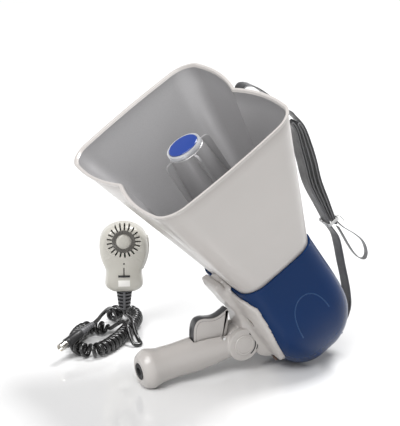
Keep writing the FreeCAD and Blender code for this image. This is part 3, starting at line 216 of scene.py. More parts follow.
def surface(name, colour, roughness, metallic=0.0, coat=0.0, grain=1600.0, grain_depth=0.02, patches=18.0,
            contrast=0.05, sheen=0.0, transmission=0.0, specular=0.5, coat_roughness=0.08):
    """Moulded, painted or plated finish: slow colour drift, fine grain and uneven gloss."""
    material, nodes, links, shader = new_material(name)
    place = nodes.new("ShaderNodeTexCoord").outputs["Object"]
    drift = noise(nodes, links, place, patches, 4.0)
    tint = shaded(nodes, links, drift, scaled(colour, 1 - contrast), scaled(colour, 1 + contrast))
    links.new(tint, shader.inputs["Base Color"])
    wear = noise(nodes, links, place, patches * 3, 2.0)
    links.new(spread(nodes, links, wear, roughness * 0.94, roughness * 1.06), shader.inputs["Roughness"])
    fine = noise(nodes, links, place, grain, 2.0)
    relief = bump(nodes, links, fine, 0.35, grain_depth * MM)
    links.new(relief.outputs["Normal"], shader.inputs["Normal"])
    shader.inputs["Metallic"].default_value = metallic
    shader.inputs["Coat Weight"].default_value = coat
    shader.inputs["Coat Roughness"].default_value = coat_roughness
    shader.inputs["Sheen Weight"].default_value = sheen
    shader.inputs["Transmission Weight"].default_value = transmission
    shader.inputs["Specular IOR Level"].default_value = specular
    return material


def silver_paint(name, colour):
    """Metallic paint: a fine flake that glints and a faint orange-peel relief."""
    material, nodes, links, shader = new_material(name)
    place = nodes.new("ShaderNodeTexCoord").outputs["Object"]
    flakes = nodes.new("ShaderNodeTexVoronoi")
    flakes.inputs["Scale"].default_value = 2600.0
    links.new(place, flakes.inputs["Vector"])
    tint = shaded(nodes, links, flakes.outputs["Distance"], scaled(colour, 1.06), scaled(colour, 0.94))
    links.new(tint, shader.inputs["Base Color"])
    peel = noise(nodes, links, place, 420.0, 2.0)
    relief = bump(nodes, links, peel, 0.25, 0.02 * MM)
    links.new(relief.outputs["Normal"], shader.inputs["Normal"])
    wear = noise(nodes, links, place, 30.0, 5.0)
    links.new(spread(nodes, links, wear, 0.28, 0.34), shader.inputs["Roughness"])
    shader.inputs["Metallic"].default_value = 0.4
    shader.inputs["Coat Weight"].default_value = 0.25
    shader.inputs["Coat Roughness"].default_value = 0.25
    return material


def webbing(name, colour, rows_per_metre=620.0, girth=0.0432):
    """Woven nylon: herringbone rows along the strap, a soft sheen on the yarn's crowns, and painted sheen in
    light grey along both selvedges.
    """
    material, nodes, links, shader = new_material(name)
    strip = nodes.new("ShaderNodeUVMap")
    strip.uv_map = "strip"
    split = nodes.new("ShaderNodeSeparateXYZ")
    links.new(strip.outputs["UV"], split.inputs["Vector"])
    waves = []
    for channel, rate in (("X", rows_per_metre), ("Y", rows_per_metre * 1.6)):
        turn = nodes.new("ShaderNodeMath")
        turn.operation = "MULTIPLY"
        turn.inputs[1].default_value = rate * math.tau
        links.new(split.outputs[channel], turn.inputs[0])
        wave = nodes.new("ShaderNodeMath")
        wave.operation = "SINE"
        links.new(turn.outputs["Value"], wave.inputs[0])
        waves.append(wave.outputs["Value"])
    crossing = nodes.new("ShaderNodeMath")
    crossing.operation = "MULTIPLY"
    links.new(waves[0], crossing.inputs[0])
    links.new(waves[1], crossing.inputs[1])
    yarn = nodes.new("ShaderNodeMapRange")
    yarn.inputs["From Min"].default_value = -1.0
    links.new(crossing.outputs["Value"], yarn.inputs["Value"])
    tint = shaded(nodes, links, yarn.outputs["Result"], scaled(colour, 0.55), scaled(colour, 1.9))
    # Painted sheen: both selvedges are mixed towards a light grey, so the highlight along the strap's edges
    # is painted into its colour.
    edge = nodes.new("ShaderNodeMath")
    edge.operation = "MULTIPLY"
    edge.inputs[1].default_value = 2 * math.tau / girth
    links.new(split.outputs["X"], edge.inputs[0])
    wave = nodes.new("ShaderNodeMath")
    wave.operation = "COSINE"
    links.new(edge.outputs["Value"], wave.inputs[0])
    selvedge = nodes.new("ShaderNodeMapRange")
    selvedge.inputs["From Min"].default_value = 0.72
    selvedge.inputs["To Max"].default_value = 0.8
    links.new(wave.outputs["Value"], selvedge.inputs["Value"])
    painted_edge_sheen = nodes.new("ShaderNodeMixRGB")
    painted_edge_sheen.inputs["Color2"].default_value = (0.16, 0.16, 0.165, 1)
    links.new(selvedge.outputs["Result"], painted_edge_sheen.inputs["Fac"])
    links.new(tint, painted_edge_sheen.inputs["Color1"])
    links.new(painted_edge_sheen.outputs["Color"], shader.inputs["Base Color"])
    relief = bump(nodes, links, yarn.outputs["Result"], 0.7, 0.12 * MM)
    links.new(relief.outputs["Normal"], shader.inputs["Normal"])
    place = nodes.new("ShaderNodeTexCoord").outputs["Object"]
    wear = noise(nodes, links, place, 60.0, 5.0)
    links.new(spread(nodes, links, wear, 0.34, 0.5), shader.inputs["Roughness"])
    shader.inputs["Sheen Weight"].default_value = 0.35
    shader.inputs["Sheen Roughness"].default_value = 0.35
    return material


def finishes(colours):
    """Every material slot of the record, each with its own finish."""
    black = (0.017, 0.017, 0.018)
    return {
        "bell_plastic": surface("bell_plastic", colours.shell, 0.30, coat=0.25, coat_roughness=0.15,
                                contrast=0.015),
        "white_plastic": surface("white_plastic", colours.shell, 0.34, coat=0.3, coat_roughness=0.12,
                                 contrast=0.02),
        "trigger_plastic": surface("trigger_plastic", scaled(colours.shell, 0.95), 0.36, coat=0.2,
                                   contrast=0.02),
        "microphone_plastic": surface("microphone_plastic", colours.microphone, 0.3, coat=0.3, contrast=0.02),
        "silver_plastic": silver_paint("silver_plastic", colours.silver),
        "blue_plastic": surface("blue_plastic", colours.housing, 0.24, specular=0.14, contrast=0.02,
                                patches=9.0),
        "black_plastic": surface("black_plastic", black, 0.42, grain_depth=0.05, contrast=0.15),
        "knob_plastic": surface("knob_plastic", scaled(black, 1.4), 0.5, grain_depth=0.06, contrast=0.15),
        "black_rubber": surface("black_rubber", scaled(black, 0.7), 0.6, grain_depth=0.05, contrast=0.2),
        "relief_rubber": surface("relief_rubber", scaled(black, 5.5), 0.42, grain_depth=0.05, contrast=0.15),
        "cord_rubber": surface("cord_rubber", colours.cord, 0.24, coat=0.35, grain=900.0, contrast=0.25),
        "strap_fabric": webbing("strap_fabric", colours.strap),
        "tie_wire": surface("tie_wire", (0.75, 0.75, 0.74), 0.2, transmission=0.35, contrast=0.03),
        "screw_steel": surface("screw_steel", (0.16, 0.11, 0.085), 0.35, metallic=0.9, contrast=0.2,
                               patches=180.0),
        "plated_steel": surface("plated_steel", (0.55, 0.55, 0.54), 0.3, metallic=1.0, contrast=0.1,
                                patches=120.0),
        "spring_steel": surface("spring_steel", (0.45, 0.45, 0.46), 0.25, metallic=1.0, contrast=0.15),
        "nickel_plated": surface("nickel_plated", (0.62, 0.60, 0.56), 0.16, metallic=1.0, contrast=0.06,
                                 patches=90.0),
        "magnet_ferrite": surface("magnet_ferrite", (0.05, 0.05, 0.055), 0.7, grain_depth=0.2, contrast=0.3),
        "diaphragm_film": surface("diaphragm_film", (0.42, 0.31, 0.15), 0.3, transmission=0.2, contrast=0.08),
        "led_lens": surface("led_lens", (0.65, 0.02, 0.015), 0.12, transmission=0.5, contrast=0.05),
        "board_green": circuit_board("board_green"),
        "cell_jacket": cell_jacket("cell_jacket"),
    }


def circuit_board(name):
    """Solder mask with a faint pattern of tracks under it."""
    material, nodes, links, shader = new_material(name)
    place = nodes.new("ShaderNodeTexCoord").outputs["Object"]
    tracks = nodes.new("ShaderNodeTexBrick")
    tracks.inputs["Scale"].default_value = 260.0
    tracks.inputs["Color1"].default_value = (0.012, 0.11, 0.035, 1)
    tracks.inputs["Color2"].default_value = (0.016, 0.14, 0.045, 1)
    tracks.inputs["Mortar"].default_value = (0.05, 0.26, 0.08, 1)
    links.new(place, tracks.inputs["Vector"])
    links.new(tracks.outputs["Color"], shader.inputs["Base Color"])
    relief = bump(nodes, links, tracks.outputs["Fac"], 0.4, 0.05 * MM)
    links.new(relief.outputs["Normal"], shader.inputs["Normal"])
    shader.inputs["Roughness"].default_value = 0.3
    return material


def cell_jacket(name):
    """Plain shrink jacket of a dry cell: satin grey with fine bands round it."""
    material, nodes, links, shader = new_material(name)
    place = nodes.new("ShaderNodeTexCoord").outputs["Object"]
    bands = nodes.new("ShaderNodeTexWave")
    bands.inputs["Scale"].default_value = 90.0
    bands.inputs["Distortion"].default_value = 0.6
    links.new(place, bands.inputs["Vector"])
    tint = shaded(nodes, links, bands.outputs["Fac"], (0.10, 0.105, 0.12), (0.16, 0.165, 0.18))
    links.new(tint, shader.inputs["Base Color"])
    shader.inputs["Metallic"].default_value = 0.6
    shader.inputs["Roughness"].default_value = 0.35
    return material


# Near-black grey painted on the trigger's edge faces as shade.
def trigger_edge_shade():
    return surface("trigger_edge_shade", (0.045, 0.045, 0.048), 0.34, coat=0.3, contrast=0.08)


FINISH = {}


# ---------------------------------------------------------------- modelling by hand, in code
def only(obj):
    """Make one object the active and selected one."""
    bpy.ops.object.select_all(action="DESELECT")
    obj.select_set(True)
    bpy.context.view_layer.objects.active = obj


def loft(name, rings, caps=(True, True), strip=False):
    """Skin over a row of rings: a circle is extruded ring by ring, each moved to its place."""
    bpy.ops.object.select_all(action="DESELECT")
    count = len(rings[0])
    bpy.ops.mesh.primitive_circle_add(vertices=count, radius=1.0)
    obj = bpy.context.object
    obj.name = name
    obj.data.name = name
    bpy.ops.object.mode_set(mode="EDIT")
    mesh = bmesh.from_edit_mesh(obj.data)
    order = mesh.verts.layers.int.new("order")
    level = mesh.verts.layers.int.new("level")
    mesh.verts.ensure_lookup_table()
    for index in range(count):
        mesh.verts[index][order] = index
        mesh.verts[index].co = rings[0][index]
    bpy.ops.mesh.select_all(action="SELECT")
    for number, ring in enumerate(rings[1:], 1):
        bpy.ops.mesh.extrude_edges_indiv()
        mesh = bmesh.from_edit_mesh(obj.data)
        order = mesh.verts.layers.int["order"]
        level = mesh.verts.layers.int["level"]
        for vert in mesh.verts:
            if vert.select:
                vert[level] = number
                vert.co = ring[vert[order]]
    if strip:
        measure_strip(mesh, rings)
    for wanted, number in zip(caps, (0, len(rings) - 1)):
        if wanted:
            mesh = bmesh.from_edit_mesh(obj.data)
            level = mesh.verts.layers.int["level"]
            for vert in mesh.verts:
                vert.select = vert[level] == number
            mesh.select_flush_mode()
            bpy.ops.mesh.edge_face_add()
    bpy.ops.mesh.select_all(action="SELECT")
    bpy.ops.mesh.remove_doubles(threshold=0.002 * MM)
    bpy.ops.mesh.normals_make_consistent(inside=False)
    bpy.ops.object.mode_set(mode="OBJECT")
    return obj


def measure_strip(mesh, rings):
    """UV map in metres: X round the ring, Y along the piece."""
    strip = mesh.loops.layers.uv.new("strip")
    order = mesh.verts.layers.int["order"]
    level = mesh.verts.layers.int["level"]
    count = len(rings[0])
    round_way = [0.0]
    for index in range(count):
        round_way.append(round_way[-1] + (rings[0][index] - rings[0][(index + 1) % count]).length)
    along = [0.0]
    for before, after in zip(rings, rings[1:]):
        along.append(along[-1] + (before[0] - after[0]).length)
    for face in mesh.faces:
        orders = [loop.vert[order] for loop in face.loops]
        wraps = max(orders) - min(orders) > count / 2
        for loop, place in zip(face.loops, orders):
            step = count if wraps and place == 0 else place
            loop[strip].uv = (round_way[step], along[loop.vert[level]])


def circle_ring(radius, height, segments, squeeze=1.0):
    """Points round Z at a height."""
    turns = [math.tau * index / segments for index in range(segments)]
    return [Vector((radius * math.cos(turn), radius * squeeze * math.sin(turn), height)) for turn in turns]


def turned(name, profile, segments=64):
    """Lathe-turned piece about Z from (radius, height) points; a radius of nothing closes it in a pole."""
    rings = [circle_ring(radius, height, segments) for radius, height in profile]
    ends = (profile[0][0] > 0, profile[-1][0] > 0)
    return loft(name, rings, caps=ends)


def slab_block(name, low, high, bevel):
    """Block between two corners with eased edges."""
    bpy.ops.object.select_all(action="DESELECT")
    centre = (Vector(low) + Vector(high)) / 2
    bpy.ops.mesh.primitive_cube_add(size=1.0, location=centre, scale=Vector(high) - Vector(low))
    obj = bpy.context.object
    obj.name = name
    bpy.ops.object.transform_apply(location=True, rotation=True, scale=True)
    bpy.ops.object.mode_set(mode="EDIT")
    bpy.ops.mesh.select_all(action="SELECT")
    bpy.ops.mesh.bevel(offset=bevel, segments=2, affect="EDGES")
    bpy.ops.object.mode_set(mode="OBJECT")
    return obj


def joined(name, pieces):
    """One piece out of several."""
    bpy.ops.object.select_all(action="DESELECT")
    for piece in pieces:
        piece.select_set(True)
    bpy.context.view_layer.objects.active = pieces[0]
    bpy.ops.object.join()
    obj = bpy.context.object
    obj.name = name
    obj.data.name = name
    return obj


def plain_copy(name, node):
    """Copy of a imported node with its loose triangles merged."""
    obj = bpy.data.objects.new(name, frame["nodes"][node].data.copy())
    bpy.context.scene.collection.objects.link(obj)
    only(obj)
    bpy.ops.object.mode_set(mode="EDIT")
    bpy.ops.mesh.select_all(action="SELECT")
    bpy.ops.mesh.remove_doubles(threshold=0.01 * MM)
    bpy.ops.object.mode_set(mode="OBJECT")
    obj.data.materials.clear()
    return obj


def remeshed(obj, voxel, passes):
    """Grow a piece into one even skin and ease its edges into fillets, as a moulding's are."""
    only(obj)
    remesh = obj.modifiers.new("remesh", "REMESH")
    remesh.mode = "VOXEL"
    remesh.voxel_size = voxel * MM
    bpy.ops.object.modifier_apply(modifier=remesh.name)
    ease = obj.modifiers.new("ease", "SMOOTH")
    ease.factor = 0.5
    ease.iterations = passes
    bpy.ops.object.modifier_apply(modifier=ease.name)
    bpy.ops.object.shade_smooth()
    return obj


def softened(name, node, voxel, passes):
    return remeshed(plain_copy(name, node), voxel, passes)


def cut_away(obj, cutter):
    """Cut a shape out of a piece."""
    difference = obj.modifiers.new("cut", "BOOLEAN")
    difference.operation = "DIFFERENCE"
    difference.solver = "EXACT"
    difference.object = cutter
    only(obj)
    bpy.ops.object.modifier_apply(modifier=difference.name)
    bpy.data.objects.remove(cutter, do_unlink=True)


def finish_piece(obj, body, slot, *nodes, place=None, materials=(), angle=35.0):
    """Place a piece's mesh, smooth it, give it its material, and hang it on its body."""
    if place is not None:
        obj.data.transform(place)
    only(obj)
    bpy.ops.object.shade_smooth_by_angle(angle=math.radians(angle))
    if materials or not obj.data.materials:
        obj.data.materials.clear()
        for material in materials or (FINISH[slot],):
            obj.data.materials.append(material)
    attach(obj, body)
    if nodes:
        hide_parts(*nodes)
    return obj


def smooth_through(points, steps, closed=False):
    """Catmull-Rom curve through points, each span cut into steps."""
    points = [Vector(point) for point in points]
    if closed:
        padded = points[-1:] + points + points[:2]
    else:
        padded = [2 * points[0] - points[1]] + points + [2 * points[-1] - points[-2]]
    way = []
    for a, b, c, d in zip(padded, padded[1:], padded[2:], padded[3:]):
        for step in range(steps):
            t = step / steps
            way.append(0.5 * (2 * b + (c - a) * t + (2 * a - 5 * b + 4 * c - d) * t ** 2
                              + (3 * b - a - 3 * c + d) * t ** 3))
    if not closed:
        way.append(points[-1])
    return way


def mixed(low, high, share):
    return low + (high - low) * share


# ---------------------------------------------------------------- stage
CAMERA_PLACE = Vector((-0.9175, -1.7588, 0.8349))
CAMERA_TARGET = Vector((-0.0561, -0.0310, 0.2001))


def area_light(name, place, target, size, power, colour=(1, 1, 1)):
    light = bpy.data.lights.new(name, "AREA")
    light.shape = "RECTANGLE"
    light.size, light.size_y = size
    light.energy = power
    light.color = colour
    lamp = bpy.data.objects.new(name, light)
    bpy.context.scene.collection.objects.link(lamp)
    lamp.location = place
    lamp.rotation_euler = (Vector(target) - Vector(place)).to_track_quat("-Z", "Y").to_euler()


def sun_light(name, place, power, softness):
    light = bpy.data.lights.new(name, "SUN")
    light.energy = power
    light.angle = math.radians(softness)
    lamp = bpy.data.objects.new(name, light)
    bpy.context.scene.collection.objects.link(lamp)
    lamp.location = place
    lamp.rotation_euler = (-Vector(place)).to_track_quat("-Z", "Y").to_euler()


class MEGAPHONE_OT_stage(bpy.types.Operator):
    """Pale glossy floor, soft studio lights and the camera"""
    bl_idname = "megaphone.stage"
    bl_label = "Stage"

    def execute(self, context):
        scene = context.scene
        camera = bpy.data.cameras.new("camera")
        camera.lens = 152.3
        camera.clip_start = 0.05
        viewer = bpy.data.objects.new("camera", camera)
        scene.collection.objects.link(viewer)
        viewer.location = CAMERA_PLACE
        viewer.rotation_euler = (CAMERA_TARGET - CAMERA_PLACE).to_track_quat("-Z", "Y").to_euler()
        scene.camera = viewer
        scene.view_settings.view_transform = "Standard"
        world = bpy.data.worlds.new("studio")
        world.use_nodes = True
        studio_walls(world)
        scene.world = world
        bpy.ops.object.select_all(action="DESELECT")
        bpy.ops.mesh.primitive_plane_add(size=9.0, location=(0, 0, 0))
        floor = context.object
        floor.name = "floor"
        floor.data.materials.append(floor_finish())
        sun_light("sky_light", (-1.3, -1.1, 2.4), 2.5, 42.0)
        area_light("key_light", (-2.1, -1.0, 1.7), (0, 0, 0.15), (1.0, 1.0), 22.0)
        area_light("rim_light", (1.1, 0.3, 2.5), (0, 0, 0.15), (0.9, 0.9), 80.0)
        return {"FINISHED"}


def studio_walls(world):
    """White walls round the floor, dimmer towards the ceiling."""
    nodes = world.node_tree.nodes
    links = world.node_tree.links
    split = nodes.new("ShaderNodeSeparateXYZ")
    links.new(nodes.new("ShaderNodeTexCoord").outputs["Generated"], split.inputs["Vector"])
    ramp = nodes.new("ShaderNodeValToRGB")
    ramp.color_ramp.elements[0].position = 0.12
    ramp.color_ramp.elements[1].position = 0.55
    ramp.color_ramp.elements[0].color = (1, 1, 1, 1)
    ramp.color_ramp.elements[1].color = (0.12, 0.12, 0.125, 1)
    links.new(split.outputs["Z"], ramp.inputs["Fac"])
    links.new(ramp.outputs["Color"], nodes["Background"].inputs["Color"])
    nodes["Background"].inputs["Strength"].default_value = 1.1


def floor_finish():
    material, nodes, links, shader = new_material("floor")
    place = nodes.new("ShaderNodeTexCoord").outputs["Object"]
    cloud = noise(nodes, links, place, 3.0)
    links.new(shaded(nodes, links, cloud, (0.74, 0.74, 0.74), (0.76, 0.76, 0.76)),
              shader.inputs["Base Color"])
    links.new(spread(nodes, links, cloud, 0.07, 0.09), shader.inputs["Roughness"])
    shader.inputs["Specular IOR Level"].default_value = 1.0
    return material


# ---------------------------------------------------------------- curly cord, its relief and its plug
COIL_ROUTE = [
    (-0.0775, 0.168, 0.00945), (-0.0737, 0.1772, 0.00945), (-0.0645, 0.181, 0.00945),
    (-0.0553, 0.1772, 0.00945), (-0.0515, 0.168, 0.00945), (-0.0525, 0.156, 0.00945),
    (-0.058, 0.144, 0.00945), (-0.0675, 0.1325, 0.00945), (-0.0795, 0.120, 0.00945),
    (-0.092, 0.1076, 0.00945), (-0.1098, 0.0914, 0.00945), (-0.127, 0.0796, 0.00945),
    (-0.1419, 0.0743, 0.00945), (-0.153, 0.0785, 0.00945), (-0.1573, 0.091, 0.00945),
    (-0.1552, 0.1054, 0.00945), (-0.1495, 0.1199, 0.00945), (-0.1408, 0.1331, 0.00945),
    (-0.1304, 0.1423, 0.00945), (-0.120, 0.1464, 0.00945), (-0.1105, 0.1425, 0.00945),
    (-0.105, 0.1335, 0.00945),
]
MIC_LEAD_ROUTE = [
    (-0.074, 0.142, 0.028), (-0.074, 0.142, 0.0234), (-0.0743, 0.1386, 0.0203),
    (-0.0753, 0.1305, 0.0218), (-0.0762, 0.1235, 0.0232), (-0.077, 0.115, 0.0232),
    (-0.0775, 0.1075, 0.020), (-0.0776, 0.1015, 0.0105), (-0.0778, 0.0925, 0.0044),
    (-0.0778, 0.083, 0.0027), (-0.0882, 0.083, 0.0027), (-0.0882, 0.0925, 0.0095),
    (-0.0883, 0.0985, 0.0195), (-0.0885, 0.106, 0.0233), (-0.0895, 0.115, 0.0233),
    (-0.094, 0.1205, 0.0185), (-0.1007, 0.1266, 0.0108), (-0.105, 0.1335, 0.00945),
]
PLUG_LEAD_ROUTE = [
    (-0.0775, 0.168, 0.0145), (-0.0815, 0.162, 0.0205), (-0.0875, 0.1545, 0.0265),
    (-0.095, 0.1455, 0.0295), (-0.1035, 0.1355, 0.0308), (-0.113, 0.125, 0.0312),
    (-0.122, 0.1135, 0.031), (-0.131, 0.107, 0.030),
]
PLUG_TIP = (-0.187, 0.078, 0.019)
TURN_POINTS = 14
END_ANGLE = math.radians(-60)
START_SHARE = 0.583
RAMP_START = 0.6        # share of the full radius at which the first turn starts
RAMP_END = 0.55         # and at which the last turn ends
RAMP_PER_TURN = 0.8     # growth of that share in one turn
END_REACHES = (2.0, 5.0)    # millimetres from the coil's ends to the points that lead into it
CORNER_REACH = 4.0      # millimetres from a corner to the point that keeps its bend round


def nurbs_cord(name, points, diameter=0.0):
    """Smooth cord with the points as its control points."""
    curve = bpy.data.curves.new(name, "CURVE")
    curve.dimensions = "3D"
    spline = curve.splines.new("NURBS")
    spline.points.add(len(points) - 1)
    for control, point in zip(spline.points, points):
        control.co = (*point, 1.0)
    spline.order_u = 3
    spline.use_endpoint_u = True
    spline.resolution_u = 4
    curve.bevel_depth = diameter / 2
    curve.bevel_resolution = 4
    curve.use_fill_caps = diameter > 0
    obj = bpy.data.objects.new(name, curve)
    bpy.context.scene.collection.objects.link(obj)
    return obj


def followed(route):
    """Points read from the route's own smooth line."""
    guide = nurbs_cord("guide", route)
    guide.data.splines[0].resolution_u = 24
    line = bpy.data.meshes.new_from_object(guide)
    points = [vert.co.copy() for vert in line.vertices]
    bpy.data.objects.remove(guide, do_unlink=True)
    bpy.data.meshes.remove(line)
    return points


def bend_radius(points, index, reach=14):
    a = points[max(0, index - reach)]
    b = points[index]
    c = points[min(len(points) - 1, index + reach)]
    area = (b - a).cross(c - a).length / 2
    if area < 1e-9:
        return 1.0
    return (a - b).length * (b - c).length * (c - a).length / (4 * area)


def coil_pitch(place, radius, winding, sizes):
    """Spacing of the turns: loose where the cord is drawn out, and open on the inside of a bend."""
    drawn_out = max(0.0, min(1.0, (0.118 - place.y) / 0.012))
    pitch = mixed(sizes.tight_pitch, sizes.loose_pitch, drawn_out)
    inside = max(0.3, 1 - winding / radius)
    return max(pitch, sizes.cord_diameter * 1.06 / inside)


def coil_turns(axis, sizes):
    """Control points of the curly cord along the axis line, ending at the top of a turn."""
    winding = (sizes.coil_diameter - sizes.cord_diameter) / 2
    turn = [0.0]
    for index in range(1, len(axis)):
        pitch = coil_pitch(axis[index], bend_radius(axis, index), winding, sizes)
        turn.append(turn[-1] + (axis[index] - axis[index - 1]).length / pitch)
    total = round(turn[-1] - START_SHARE) + START_SHARE
    turn = [value * total / turn[-1] for value in turn]
    points = []
    steps = int(total * TURN_POINTS)
    index = 0
    for step in range(1, steps + 1):
        wanted = turn[-1] * step / steps
        while turn[index + 1] < wanted and index < len(turn) - 2:
            index += 1
        share = (wanted - turn[index]) / (turn[index + 1] - turn[index])
        place = axis[index].lerp(axis[index + 1], share)
        forward = (axis[index + 1] - axis[index]).normalized()
        side = forward.cross(UP).normalized()
        angle = math.tau * (wanted - total) + END_ANGLE
        left_over = turn[-1] - wanted
        ramp = min(1.0, RAMP_START + RAMP_PER_TURN * wanted, RAMP_END + RAMP_PER_TURN * left_over)
        radius = winding * ramp * (1 + 0.015 * math.sin(wanted * 1.7))
        points.append(place + radius * (math.cos(angle) * UP + math.sin(angle) * side))
    way_in = (points[0] - points[1]).normalized()
    way_out = (points[-1] - points[-2]).normalized()
    before = [points[0] + way_in * reach * MM for reach in END_REACHES[::-1]]
    after = [points[-1] + way_out * reach * MM for reach in END_REACHES]
    return before + points + after


def toward(corner, neighbour):
    """Point a little way from the corner to its neighbour, which keeps the bend there round."""
    return corner + (neighbour - corner).normalized() * CORNER_REACH * MM


class MEGAPHONE_OT_cord(bpy.types.Operator):
    """Curly cord from the microphone's strain relief to the plug"""
    bl_idname = "megaphone.cord"
    bl_label = "Curly cord"

    def execute(self, context):
        sizes = context.scene.megaphone_sizes
        axis = followed(COIL_ROUTE[::-1])
        turns = coil_turns(axis, sizes)
        lead = [Vector(point) for point in MIC_LEAD_ROUTE[:-1]]
        tail = [Vector(point) for point in PLUG_LEAD_ROUTE[1:]]
        points = lead + [toward(turns[0], lead[-1])] + turns + [toward(turns[-1], tail[0])] + tail
        cord = nurbs_cord("curly_cord", points, sizes.cord_diameter)
        cord.data.materials.append(FINISH["cord_rubber"])
        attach(cord, "microphone")
        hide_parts("cord_coil", "cord_mic_lead", "cord_plug_lead")
        plug = plug_pieces()
        return {"FINISHED"}


def plug_pieces():
    """Strain relief, body and contact of the plug, along the line from the lead's end to the tip."""
    start = Vector(PLUG_LEAD_ROUTE[-1])
    along = (Vector(PLUG_TIP) - start).normalized()
    side = along.cross(UP).normalized()
    place = axes_matrix(side, along.cross(side), along, start)
    relief = [(0.0, 0.2), (2.9, 0.2), (3.2, 0.8)]
    for groove in range(5):
        height = 3.2 + groove * 3.6
        radius = 3.25 + groove * 0.3
        relief += [(radius, height), (radius - 0.55, height + 0.4), (radius - 0.5, height + 1.2),
                   (radius + 0.12, height + 1.6)]
    relief += [(4.9, 23.4), (4.7, 24.0), (0.0, 24.0)]
    body = [(0.0, 24.0), (5.0, 24.0), (5.4, 24.5), (5.6, 27.5), (5.2, 28.0), (5.2, 28.6), (5.7, 29.1),
            (5.7, 46.5), (5.35, 47.0), (5.35, 47.6), (5.8, 48.1), (5.8, 51.5), (5.5, 52.0), (0.0, 52.0)]
    contact = [(0.0, 52.0), (4.9, 52.0), (4.9, 60.2), (4.5, 60.6), (4.5, 61.2), (4.9, 61.6), (4.85, 62.6),
               (4.5, 63.0), (3.9, 63.0), (3.8, 60.8), (0.0, 60.8)]
    pieces = []
    for name, profile, slot in (("plug_sleeve", relief, "relief_rubber"),
                                ("plug_barrel", body, "black_plastic"),
                                ("plug_end", contact, "nickel_plated")):
        piece = turned(name, [(radius * MM, height * MM) for radius, height in profile], 48)
        node = {"plug_sleeve": "plug_relief", "plug_barrel": "plug_body", "plug_end": "plug_contact"}[name]
        pieces.append(finish_piece(piece, "microphone", slot, node, place=place))
    return pieces


class MEGAPHONE_OT_relief(bpy.types.Operator):
    """Ringed strain relief under the microphone"""
    bl_idname = "megaphone.relief"
    bl_label = "Strain relief"

    def execute(self, context):
        profile = [(0.0, -25.0), (6.4, -25.0), (6.9, -24.5)]
        for ring in range(5):
            low = -24.0 + ring * 4.7
            radius = 7.15 + ring * 0.55
            profile += [(radius, low), (radius + 0.15, low + 2.2), (radius - 1.5, low + 2.5),
                        (radius - 1.4, low + 4.1), (radius + 0.3, low + 4.4)]
        profile += [(9.95, -0.4), (9.9, 0.0), (0.0, 0.0)]
        sleeve = turned("relief_sleeve", [(radius * MM, height * MM) for radius, height in profile], 64)
        # Painted shade: faces down in the grooves take the darker black rubber, so the shade in the grooves
        # is painted into their colour.
        for face in sleeve.data.polygons:
            centre = face.center / MM
            outside = 7.15 + 0.55 * (centre.z + 24.0) / 4.7
            face.material_index = (
                1 if math.hypot(centre.x, centre.y) < outside - 0.35 and centre.z < -1.0 else 0)
        sleeve.data.materials.append(FINISH["relief_rubber"])
        sleeve.data.materials.append(FINISH["black_rubber"])
        for turn in (0, 180):
            key = slab_block("relief_key", Vector((-1.4, -9.3, -24.0)) * MM, Vector((1.4, -5.6, -0.6)) * MM,
                             0.35 * MM)
            lean = Matrix.Rotation(math.radians(-5.0), 4, "X")
            key.data.transform(Matrix.Rotation(math.radians(turn), 4, "Z") @ lean)
            key.data.materials.append(FINISH["relief_rubber"])
            sleeve = joined("relief_sleeve", [sleeve, key])
        finish_piece(sleeve, "microphone", "relief_rubber", "mic_relief", place=MIC)
        return {"FINISHED"}


# ---------------------------------------------------------------- carrying strap
UPPER_STRAP = [(303, 86.3), (312, 86.5), (319, 86.8), (324.5, 90.1), (325.5, 96), (319, 103.5), (304, 110.5),
               (284, 116.5), (272, 120.0)]
BUNDLE_LINE = [(262, 120.5), (240, 122), (218, 117), (196, 111), (170, 103), (140, 98.5), (112, 94.5)]
LOWER_STRAP = [(96, 91), (80, 86.5), (60, 79), (40, 72), (25, 66), (10, 58), (0, 47), (-4.8, 35), (-4.8, 25),
               (-4.8, 14)]
TAIL_LINE = [(122, 102.3), (116, 101.6), (108, 101.8), (94, 105.2), (78, 111.8), (62, 115.8), (48, 113.2),
             (41.5, 106.8), (46, 101.4), (58, 98.6), (72, 98.4), (88, 99.2), (100, 99.6)]
LAYER_STEP = 2.15


def strap_point(point):
    station, height = point
    return Vector((height, 0.0, station))


def web_section(width, thickness):
    """Outline of webbing: a thin lens with rounded selvedges, across Y and through X."""
    half, thin = width / 2, thickness / 2
    side = [(half, 0.0), (half - 0.25, thin * 0.75), (half - 0.9, thin * 1.06), (half * 0.6, thin),
            (0.0, thin * 1.02)]
    upper = side + [(-y, x) for y, x in side[-2:0:-1]]
    return upper + [(-half, 0.0)] + [(y, -x) for y, x in upper[-1:0:-1]]


def ribbon(name, line, width, thickness, sway=0.0):
    """Webbing that follows a line of points, with its flat side across the line."""
    rings = []
    section = web_section(width, thickness)
    last = len(line) - 1
    for index, point in enumerate(line):
        forward = line[min(last, index + 1)] - line[max(0, index - 1)]
        flat = forward.cross(ACROSS).normalized()
        shift = sway * math.sin(index * 0.031)
        rings.append([(point + ACROSS * (y + shift) + flat * x) * MM for y, x in section])
    return loft(name, rings, strip=True)


